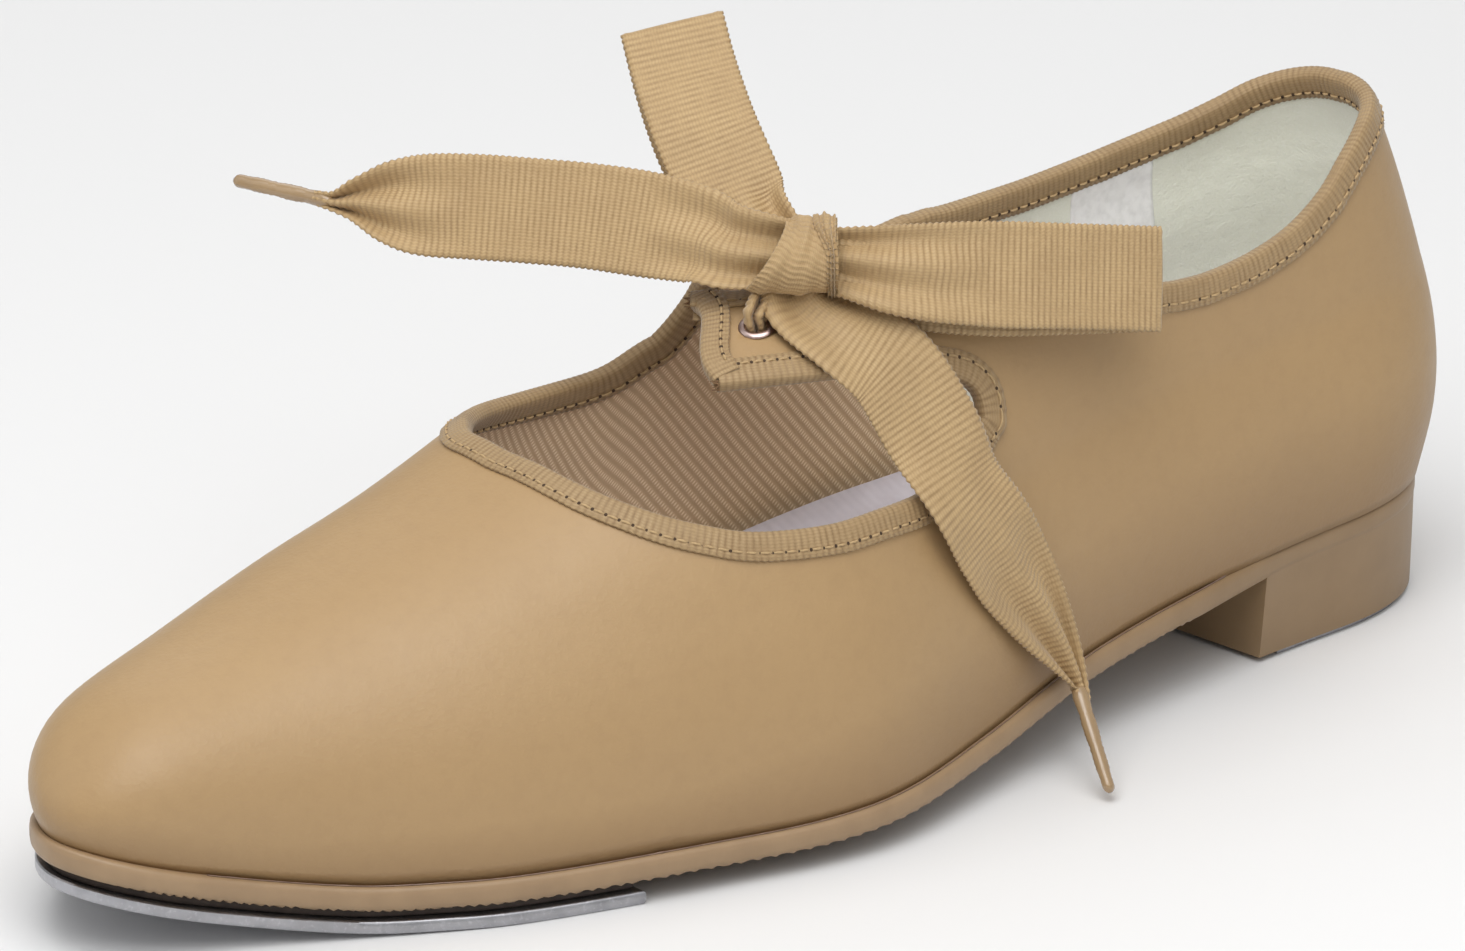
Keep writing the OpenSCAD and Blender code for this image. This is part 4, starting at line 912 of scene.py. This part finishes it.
def heel_loop(s, front=0.0):
    """Outline of the heel at depth s (0 top, 1 bottom)."""
    tip = HALF - 0.4 - 1.8 * s
    sides = []
    for y0, sign in zip(BREAST, (1, -1)):
        y0 = y0 + front
        y = y0 + (tip - y0) * np.sin(np.pi / 2 * np.linspace(0, 1, HEEL_N))
        src = y0 + (HALF - 0.45 - y0) * (y - y0) / (tip - y0)
        sides.append(np.stack([mid_at(y) + sign * half_at(src, 0.15) * (1 - 3.0 / 28 * s), y], -1))
    right, left = sides[0], sides[1][::-1]
    return np.concatenate([right, left, closed_rear(left[-1], right[0])])


def loft_heel(name, rings, mat, node, slot):
    """A closed solid through heel outlines, from the top one to the bottom one."""
    rings = np.array(rings)
    k, m = rings.shape[:2]
    faces = grid_faces(k, m, wrap_m=True)
    for lo in (0, (k - 1) * m):
        faces += [[lo + i, lo + i + 1, lo + 2 * HEEL_N - 2 - i, lo + 2 * HEEL_N - 1 - i] for i in range(HEEL_N - 1)]
        faces.append([lo + j for j in [0] + list(range(2 * HEEL_N - 1, m))][::-1])
    return outward(make(name, rings, faces, mat, [node], slot, merge=0.01))


heel_rings = []
for s in HEEL_STEPS:
    loop = heel_loop(s)
    z = (sole_at(loop[:, 1]) + 0.8) * (1 - s) + HEEL_TAP_T * s
    heel_rings.append(seat_tuck(np.concatenate([loop, z[:, None]], 1), 1 - s))
bevel(loft_heel("heel_block", heel_rings, SOLE, "outsole", "sole"), 0.9, 3, 40)

tap_middle = np.array([0, SEAT_MIDDLE])
tap_loop = tap_middle + (heel_loop(1.0, front=HEEL_TAP_FRONT) - tap_middle) * HEEL_TAP_SCALE
heel_tap = loft_heel("heel_tap_plate", [np.pad(tap_loop, ((0, 0), (0, 1)), constant_values=dz)
                                        for dz in (HEEL_TAP_T - 0.02, 0.0)], TAP, "heel_tap", "tap_metal")

TOE_TAP_END, TOE_TAP_N, BOARD_N = -50.0, 150, 120
TOE_TAP_LAYERS = [(1.35, 0.0), (0.98, 0.12), (0.82, 0.45), (0.8, 1.1), (0.84, 1.9), (1.1, 2.16), (1.6, 2.2)]
BOARD_LAYERS = [(2.6, -1.52), (2.4, -1.2), (2.4, -0.3), (2.6, -0.05)]
toe_tap = slab_piece("toe_tap_plate", [(outline(i, TOE_TAP_END + 0.8 - i, TOE_TAP_N), z) for i, z in TOE_TAP_LAYERS],
                     lambda y: sole_at(y) - TREAD_Z, TAP, "toe_tap", "tap_metal", TOE_TAP_N)
slab_piece("toe_tap_board", [(outline(i, TOE_TAP_END + 1.4 - i, BOARD_N), z) for i, z in BOARD_LAYERS],
           sole_at, BACKING, "toe_tap_backing", "backing", BOARD_N)

# the sock lies on the insole board, rises over the arch and turns up a little at its rim
SOCK_ROWS, SOCK_IN, SOCK_UP, SOCK_T = 14, 5.6, 4.95, 1.4
ARCH_H, ARCH_Y, ARCH_RUN, SOCK_RIM = 6.2, 32.0, 44.0, 1.1
sock_loop = outline(SOCK_IN, n=160)
half = len(sock_loop) // 2
sock_pts = []
for edge, other in zip(sock_loop[:half], sock_loop[::-1]):
    t = np.linspace(0, 1, SOCK_ROWS)[:, None]
    line = edge * (1 - t) + other * t
    y, t = line[:, 1], t[:, 0]
    arch = ARCH_H * np.exp(-(((y - ARCH_Y) / ARCH_RUN) ** 2)) * t**1.6
    rim = SOCK_RIM * np.abs(2 * t - 1) ** 6
    sock_pts.append(np.column_stack([line, feather_at(y) + SOCK_UP + arch + rim]))
sock = make("sock_cloth", sock_pts, grid_faces(half, SOCK_ROWS), SOCK, ["sock"],
            "sock_foam", merge=0.01)
solidify(outward(sock), SOCK_T)

SCREW_APART, RECESS_R, RECESS_DEPTH, CUTTER_H = 0.008, (2.9, 2.75), 1.25, 4.0


def countersink(ob, screws_node):
    """Cuts the screws' recesses from below, one per screw of the CAD node."""
    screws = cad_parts[screws_node]
    co = np.array([screws.matrix_world @ v.co for v in screws.data.vertices])
    groups = []
    for p in co[co[:, 2] < co[:, 2].min() + 0.004]:
        near = [g for g in groups if np.hypot(*(p[:2] - g[0][:2])) < SCREW_APART]
        if near:
            near[0].append(p)
        else:
            groups.append([p])
    cut = bmesh.new()
    for g in groups:
        lo, hi = np.min(g, 0), np.max(g, 0)
        made = bmesh.ops.create_cone(cut, cap_ends=True, segments=40, radius1=RECESS_R[0] * MM,
                                     radius2=RECESS_R[1] * MM, depth=CUTTER_H * MM)
        up = (RECESS_DEPTH - CUTTER_H / 2) * MM
        bmesh.ops.translate(cut, verts=made["verts"], vec=(*(lo[:2] + hi[:2]) / 2, lo[2] + up))
    me = bpy.data.meshes.new("recess_cutter")
    cut.to_mesh(me)
    cut.free()
    cutter = place_in_scene("recess_cutter", me)
    mod = ob.modifiers.new("recess", "BOOLEAN")
    mod.operation, mod.object, mod.solver = "DIFFERENCE", cutter, "EXACT"
    bpy.context.view_layer.update()
    done = bpy.data.meshes.new_from_object(ob.evaluated_get(bpy.context.evaluated_depsgraph_get()))
    ob.modifiers.clear()
    ob.data = done
    bpy.data.objects.remove(cutter)


countersink(toe_tap, "toe_tap_screws")
countersink(heel_tap, "heel_tap_screws")
bevel(heel_tap, 0.35, 3, 40)
bevel(toe_tap, 0.25, 2, 45)

for node, mat in (("toe_puff", STIFF), ("heel_counter", STIFF), ("insole_board", BOARD), ("shank", STEEL),
                  ("toe_tap_screws", SCREW), ("heel_tap_screws", SCREW),
                  ("lateral_eyelet_washer", COPPER), ("medial_eyelet_washer", COPPER)):
    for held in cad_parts[node].material_slots:
        held.material = mat

# ---- Eyelets, label ----
EYELET_AT = ((0.62, 0.9), (0.47, 0.66))
HOLE_R = 0.0023
EYELET_SECTION = [(1.5, -3.1), (1.48, -0.2), (1.56, 0.2), (1.76, 0.46), (2.1, 0.6), (2.5, 0.55), (2.85, 0.36),
                  (3.02, 0.08), (2.96, -0.06), (1.9, -0.06), (1.86, -3.1)]


def frame_at(n):
    """Two axes square to n."""
    a = unit(np.cross(n, [0, 0, 1] if abs(n[2]) < 0.9 else [1, 0, 0]))
    return a, np.cross(n, a)


EYELETS = []
for side, name in ((0, "lateral"), (1, "medial")):
    at, n = tab_place(side, *EYELET_AT[side], 0.0), tab_normal(side, *EYELET_AT[side])
    EYELETS.append((at, n))
    rings = np.stack([ring_of(at + out * n, r, *frame_at(n), 64) for r, out in EYELET_SECTION], 1)
    ob = outward(make(name + "_eyelet_ring", rings, grid_faces(64, len(EYELET_SECTION), True, True),
                      COPPER, [name + "_eyelet"], "eyelet_metal"))
    sub = ob.modifiers.new("round", "SUBSURF")
    sub.levels = sub.render_levels = 1

for ob in (upper, twill_lining):
    with editing(ob.data) as bm:
        gone = [f for f in bm.faces
                if any((f.calc_center_median() - Vector(at * MM)).length < HOLE_R for at, n in EYELETS)]
        bmesh.ops.delete(bm, geom=gone, context="FACES")

# the label lies on the medial heel lining, a little wavy: share of the wall's angle, station
LABEL_TOP, LABEL_FOOT, LABEL_FRONT, LABEL_REAR, LABEL_COLS, LABEL_LINES = 0.93, 0.53, 82, 99, 26, 22
LABEL_IN, LABEL_WAVE, LABEL_T = 0.84, 0.06, 0.28
a, y = np.meshgrid(np.linspace(LABEL_TOP, LABEL_FOOT, LABEL_LINES), np.linspace(LABEL_FRONT, LABEL_REAR, LABEL_COLS),
                   indexing="ij")
depth = lining_depth(y, a) + LABEL_IN + LABEL_WAVE * np.sin(y * 1.9) * np.sin(a * 21)
label_pts = on_last(y, 180 - edge_angle(1, y) * a, -depth)
label = make("blank_size_label", label_pts, grid_faces(LABEL_LINES, LABEL_COLS), LABEL, ["size_label"],
             "label", np.stack([y, a * 40], -1) * MM)
solidify(label, LABEL_T, 0.0)

# ---- The ribbon ----
RIBBON_W, RIBBON_T = 16.0, 0.42
STRAND_STEP, STRAND_COLS, MAX_WAVE = 0.18, 21, 1.15
RIB_RELIEF, RIB_EDGE, SELVEDGE = 0.055, 0.10, 0.10


def through(rows):
    """Even steps along a strand's rows of [centre, normal, width]."""
    s = run_of([r[0] for r in rows])
    q = np.linspace(0, s[-1], int(s[-1] / STRAND_STEP) + 1)
    at = lambda v: curve(list(zip(s, v)), q)
    p, m = (np.stack([at([r[k][i] for r in rows]) for i in range(3)], -1) for k in (0, 1))
    return p, unit(m), at([r[2] for r in rows]), run_of(p)


def strand(name, rows, node, seed, bend=None, wave=0.35):
    """A ribbed ribbon through its rows, pleated lengthwise where it is narrower than its cloth."""
    p, n, w, s = through(rows)
    t = unit(np.gradient(p, axis=0))
    n = square_to(n, t)
    side = np.cross(n, t)
    rng = np.random.default_rng(seed)
    drift = [smooth_rows(rng.normal(0, 1, len(s)), 900) for _ in range(3)]
    drift = [d / np.abs(d).max() for d in drift]
    a = np.linspace(-1, 1, STRAND_COLS)
    edge = np.where(np.abs(a) > 0.97, 0.7, 1), SELVEDGE * (np.abs(np.abs(a) - 0.93) < 0.05)
    verts, uvs = [], []
    for i in range(len(s)):
        tight = max(RIBBON_W / max(w[i], 1.2) - 1, 0)
        amp = min(w[i] / (4 * np.pi) * math.sqrt(4 * tight), MAX_WAVE)
        h = amp * np.sin(2 * np.pi * (a + 1) + 0.8 + drift[0][i])
        h = h + wave * (drift[1][i] * (1 - a**2) + 0.7 * drift[2][i] * a)
        rib = math.cos(2 * math.pi * s[i] / RIB)
        x = a * (w[i] / 2 + RIB_EDGE * rib)
        across = np.stack([x, h], -1)
        dx, dh = np.gradient(x), np.gradient(h)
        half = unit(np.stack([-dh, dx], -1)) * ((RIBBON_T / 2 + RIB_RELIEF * rib) * edge[0] + edge[1])[:, None]
        sec = np.concatenate([across + half, (across - half)[::-1]])
        verts.append(p[i] + sec[:, :1] * side[i] + sec[:, 1:] * n[i])
        uvs.append(np.stack([np.full(len(sec), s[i] - RIB / 4), np.concatenate([a, a[::-1]]) * RIBBON_W / 2], -1) * MM)
    ob = outward(make(name, *tube(verts), RIBBON, [node], "ribbon", uvs, body=None if bend else "shoe"))
    if bend:
        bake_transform(ob)
    return ob, s[-1]


def loop_rows(mid, wide, sag=0.0):
    """A strand out along a loop's middle, over its fold and back, from rows of (middle, half gap, width)."""
    c = np.array([m[0] for m in mid], float)
    t = unit(np.gradient(c, axis=0))
    out = unit(np.cross(t, wide))
    drop = np.outer(np.sin(np.linspace(0, np.pi, len(mid))) * sag, wide)
    there = [(c[i] + out[i] * gap, out[i], w) for i, (_, gap, w) in enumerate(mid)]
    back = [(c[i] - out[i] * gap - drop[i], -out[i], w) for i, (_, gap, w) in enumerate(mid)]
    return there + [(c[-1] + t[-1], t[-1], mid[-1][2])] + back[::-1]


FACING = (0.709, -0.595, 0.378)
front_tail, front_len = strand("front_tail_ribbon", [((x, y, z), FACING, wide) for x, y, z, wide in (
    (9.5, 1.2, 83.4, 11), (6.2, -3.6, 84.8, 11.6), (2.0, -7.2, 85.5, 13.2), (-3, -8.5, 86.0, 14.8),
    (-11, -12, 86.2, 16), (-20, -16.2, 86, 16), (-29, -20.9, 85.4, 16), (-37.5, -25.2, 84.6, 16),
    (-45, -29.2, 83.7, 15.2), (-50, -31.8, 83.3, 12), (-54, -33.9, 82.9, 7), (-57.4, -35.8, 82.2, 2.8),
    (-60.4, -37.0, 82.2, 1.7))],
    "front_tail", 3, ("front_tail", (0.0043, -0.0055, 0.0842), (-0.005, -0.0095, 0.0855)))
side_tail, side_len = strand("side_tail_ribbon", [
    ((9.8, 0.2, 80.2), (0.35, -0.4, 0.8), 12.5), ((13.2, 0.0, 77.4), (0.45, -0.3, 0.82), 14.8),
    ((19.8, 1.8, 74.2), (0.58, -0.2, 0.78), 15.8), ((25.2, 6, 69.2), (0.8, -0.2, 0.55), 16),
    ((30, 9.8, 59.5), (0.93, -0.2, 0.3), 16), ((34.8, 12.6, 50.4), (0.95, 0.12, 0.25), 16),
    ((36.4, 16.8, 42.5), (1, 0.06, 0.12), 16), ((36.3, 20.8, 35.5), (1, 0.03, 0.1), 15),
    ((36.8, 26, 27), (1, 0.05, 0.05), 11.5), ((37.2, 30.4, 19.5), (1, 0.1, 0.1), 7),
    ((38.4, 32.3, 14.3), (1, 0, 0.3), 2.8), ((40.4, 31.8, 12.2), (0.7, 0, 0.7), 1.7)],
    "side_tail", 4, ("side_tail", (0.012, -0.0006, 0.0782), (0.0235, 0.0042, 0.0712)))
upper_loop, upper_len = strand("upper_loop_ribbon", loop_rows([
    ((2.0, 2.4, 83.6), 0.7, 10), ((-1.8, 1.4, 85.6), 0.8, 13), ((-4.5, 1.1, 87.2), 1.0, 15),
    ((-7.4, 1.6, 89.2), 1.3, 16), ((-11.3, 2.7, 91.7), 1.7, 16), ((-16.2, 4.0, 95.1), 2.1, 16),
    ((-21.3, 5.9, 98.4), 2.2, 16), ((-26.2, 8.0, 101.7), 2.0, 16), ((-31.3, 10.1, 106.6), 1.2, 16)],
    (0.586, 0.796, 0.148)), "upper_loop", 5,
    ("upper_loop", (-0.0022, 0.0014, 0.0859), (-0.0094, 0.0021, 0.0905)), wave=0.5)
rear_loop, rear_len = strand("rear_loop_ribbon", loop_rows([
    ((9.6, 1.6, 83.6), 0.6, 8), ((14.8, 5.4, 83.4), 0.8, 10.5), ((20.6, 12, 82.1), 1.4, 14),
    ((25.5, 24, 80), 1.8, 16), ((29, 39, 76.9), 1.8, 16), ((32, 52.6, 74), 1.2, 16)],
    (-0.289, 0.243, 0.926), 1.3), "rear_loop", 6,
    ("rear_loop", (0.0136, 0.005, 0.0842), (0.0195, 0.0105, 0.0824)), wave=0.45)

(near, near_out), (far, far_out) = EYELETS
lacing, lacing_len = strand("laced_ribbon", [
    ((9.0, 0.4, 82.0), (-0.1, 0.1, -1), 5), ((7.6, -2.2, 79.4), (-0.3, 0.22, -0.8), 4.6),
    (near + near_out * 2.4, (-0.73, 0.55, -0.35), 3.4), (near, (-0.7, 0.52, 0.1), 2.7),
    (near - near_out * 4.8, (-0.62, 0.47, 0.63), 2.8), ((4, -3.4, 67.5), (0, 0, 1), 6), ((-6, 5, 66.5), (0, 0, 1), 10),
    ((-14, 12, 66.2), (0, 0, 1), 6), (far - far_out * 4.8, (0.5, 0.1, 0.85), 2.8),
    (far + far_out * 2.2, (0.88, 0, 0.47), 3.0), ((-24.3, 15.4, 75.2), (1, 0, 0), 3.8),
    ((-22, 15, 76.6), (0.58, 0, -0.755), 5), ((-16, 12.5, 78.6), (0, 0.3, -1), 7),
    ((-6, 8.5, 80.6), (0, 0.3, -1), 8), ((4.4, 3.6, 82.4), (0, 0.3, -1), 8)], "ribbon_lacing", 7, wave=0.2)


def aglet(name, a, b, node, body):
    """A short tube of film rolled round the ribbon's end."""
    a, b = np.array(a, float), np.array(b, float)
    u, v = frame_at(unit(b - a))
    rng = np.random.default_rng(9)
    rings = []
    for q in np.linspace(0, 1, 40):
        r = 1.16 - 0.12 * q + 0.05 * math.sin(q * 19) + 0.03 * rng.normal()
        r *= math.sqrt(max(1 - max(q - 0.93, 0) ** 2 / 0.0052, 0.12))
        r = min(r, 0.95 + q * 4)
        rings.append([a + (b - a) * q + r * (1 + 0.07 * math.cos(2 * t + q * 2) + (0.10 if abs(t - 2 - q) < 0.2 else 0))
                      * (math.cos(t) * u + math.sin(t) * v) for t in turn(28)])
    return outward(make(name, *tube(rings), FILM, [node], "aglet_film", body=body))


front_aglet = aglet("front_aglet_film", (-57.8, -35.9, 82.2), (-74.2, -42.1, 82.4), "front_aglet", "front_tail")
side_aglet = aglet("side_aglet_film", (38.7, 32.2, 14), (51, 28, 1.9), "side_aglet", "side_tail")

# The knot: one wide turn of the ribbon, pinched at the top, over a bunched core
KNOT = np.array([8.7, -0.3, 84.2])
K_DIR, K_FRONT, K_UP = np.array([0.643, 0.766, 0.0]), np.array([0.766, -0.643, 0.0]), np.array([0.0, 0.0, 1.0])
KNOT_ROUND, KNOT_ACROSS, KNOT_RIB, KNOT_STEPS = 260, 40, 0.13, 25.0


def knot_band(name, spread, size, nodes, seed, steps=KNOT_STEPS, thick=RIBBON_T):
    """spread(angle) gives the band's two edges along the knot's length; size its two half axes."""
    angle = turn(KNOT_ROUND) - np.pi
    ph = np.random.default_rng(seed).uniform(0, 6, 4)
    a, t = np.meshgrid(angle, np.linspace(0, 1, KNOT_ACROSS), indexing="ij")
    lo, hi = (v[:, None] for v in spread(angle))
    pinch = np.clip(1 - (hi - lo) / 15.5, 0, 1)
    folds = 0.55 * np.sin(2 * np.pi * 2.2 * t + ph[0] + a) + 0.3 * np.sin(2 * np.pi * 4.1 * t + ph[1] - a)
    wavy = steps * (t - 0.85 * np.sin(4 * np.pi * t) / (4 * np.pi)) + 0.8 * np.sin(2 * a + ph[3])
    mean = (size[0] + size[1]) / 2
    relief = (0.3 + 0.3 * pinch) * folds + KNOT_RIB * np.cos(round(2 * np.pi * mean / RIB) * a + wavy)
    barrel = 1 - 0.10 * (2 * t - 1) ** 4
    pts = (KNOT + (lo + (hi - lo) * t)[..., None] * K_DIR
           + ((size[0] * barrel + relief) * np.cos(a))[..., None] * K_FRONT
           + ((size[1] * barrel + relief) * np.sin(a))[..., None] * K_UP)
    uv = np.stack([(a + np.pi) * mean + wavy * RIB / (2 * np.pi), t * RIBBON_W], -1) * MM
    ob = make(name, pts, grid_faces(*a.shape, wrap_n=True), RIBBON, nodes, "ribbon", uv)
    solidify(outward(ob), thick)


def wrap_edges(a):
    """Wide under the knot and at its back, narrow over its top."""
    top = 0.5 + 0.5 * np.sin(a)
    return -6.9 + 6.2 * top**1.3, 6.3 + 0.5 * top


def core_edges(a):
    return -2.1 + 1.5 * np.sin(a), 5.4 + 0 * a


def rolled_edges(a):
    """The wrap's edge turned over: broad over the top, a thin roll elsewhere."""
    return 6.0 - 2.6 * ease(np.sin(a - 0.35)), 6.9 + 0 * a


knot_band("knot_wrap", wrap_edges, (7.1, 5.6), ["ribbon_knot"], 11)
knot_band("knot_core", core_edges, (6.0, 4.5), [], 12)
knot_band("knot_rolled_edge", rolled_edges, (7.5, 5.95), [], 21, steps=2.0, thick=0.7)

# ---- Floor, light, camera ----
me = bpy.data.meshes.new("floor")
me.from_pydata([(-6, -6, 0), (6, -6, 0), (6, 6, 0), (-6, 6, 0)], [], [[0, 1, 2, 3]])
floor = place_in_scene("floor", me)
paper = Mat("floor_paper", rgb(230, 230, 230), 0.9)
paper.mottle(2, 2, 0.3, 0.7, 0.3, rgb(226, 226, 226))
me.materials.append(paper.mat)

world = bpy.data.worlds.new("studio")
bpy.context.scene.world = world
world.use_nodes = True
world.node_tree.nodes["Background"].inputs[0].default_value = (1, 1, 1, 1)
world.node_tree.nodes["Background"].inputs[1].default_value = 0.38
TARGET = Vector((0.00095, -0.00515, 0.0471))


def area(name, azimuth, elevation, distance, size, power):
    """A soft panel facing the shoe; azimuth as in the camera's own view."""
    a, e = math.radians(azimuth), math.radians(elevation)
    at = Vector((math.sin(a) * math.cos(e), -math.cos(a) * math.cos(e), math.sin(e))) * distance
    data = bpy.data.lights.new(name, "AREA")
    data.shape, data.size, data.size_y, data.energy = "RECTANGLE", size[0], size[1], power
    ob = place_in_scene(name, data)
    ob.location = TARGET + at
    ob.rotation_euler = (-at).to_track_quat("-Z", "Y").to_euler()


area("key_panel", 40, 58, 1.1, (0.9, 0.8), 7.0)
area("top_panel", 0, 85, 1.2, (1.2, 1.0), 5.0)
area("left_panel", -40, 30, 1.3, (0.8, 1.2), 1.6)
area("side_panel", 85, 42, 1.3, (0.9, 1.0), 2.8)
area("back_panel", 225, 40, 1.4, (1.2, 0.8), 3.0)

CAMERA_AWAY, LENS = 1.895, 305.8
cam = bpy.data.cameras.new("camera")
cam.sensor_width, cam.lens, cam.clip_end = 36.0, LENS, 20.0
camera = place_in_scene("camera", cam)
AHEAD = Vector((-0.709, 0.595, -0.378))
camera.location = TARGET - AHEAD.normalized() * CAMERA_AWAY
camera.rotation_euler = AHEAD.to_track_quat("-Z", "Y").to_euler()
bpy.context.scene.camera = camera
bpy.context.scene.view_settings.view_transform = "Standard"
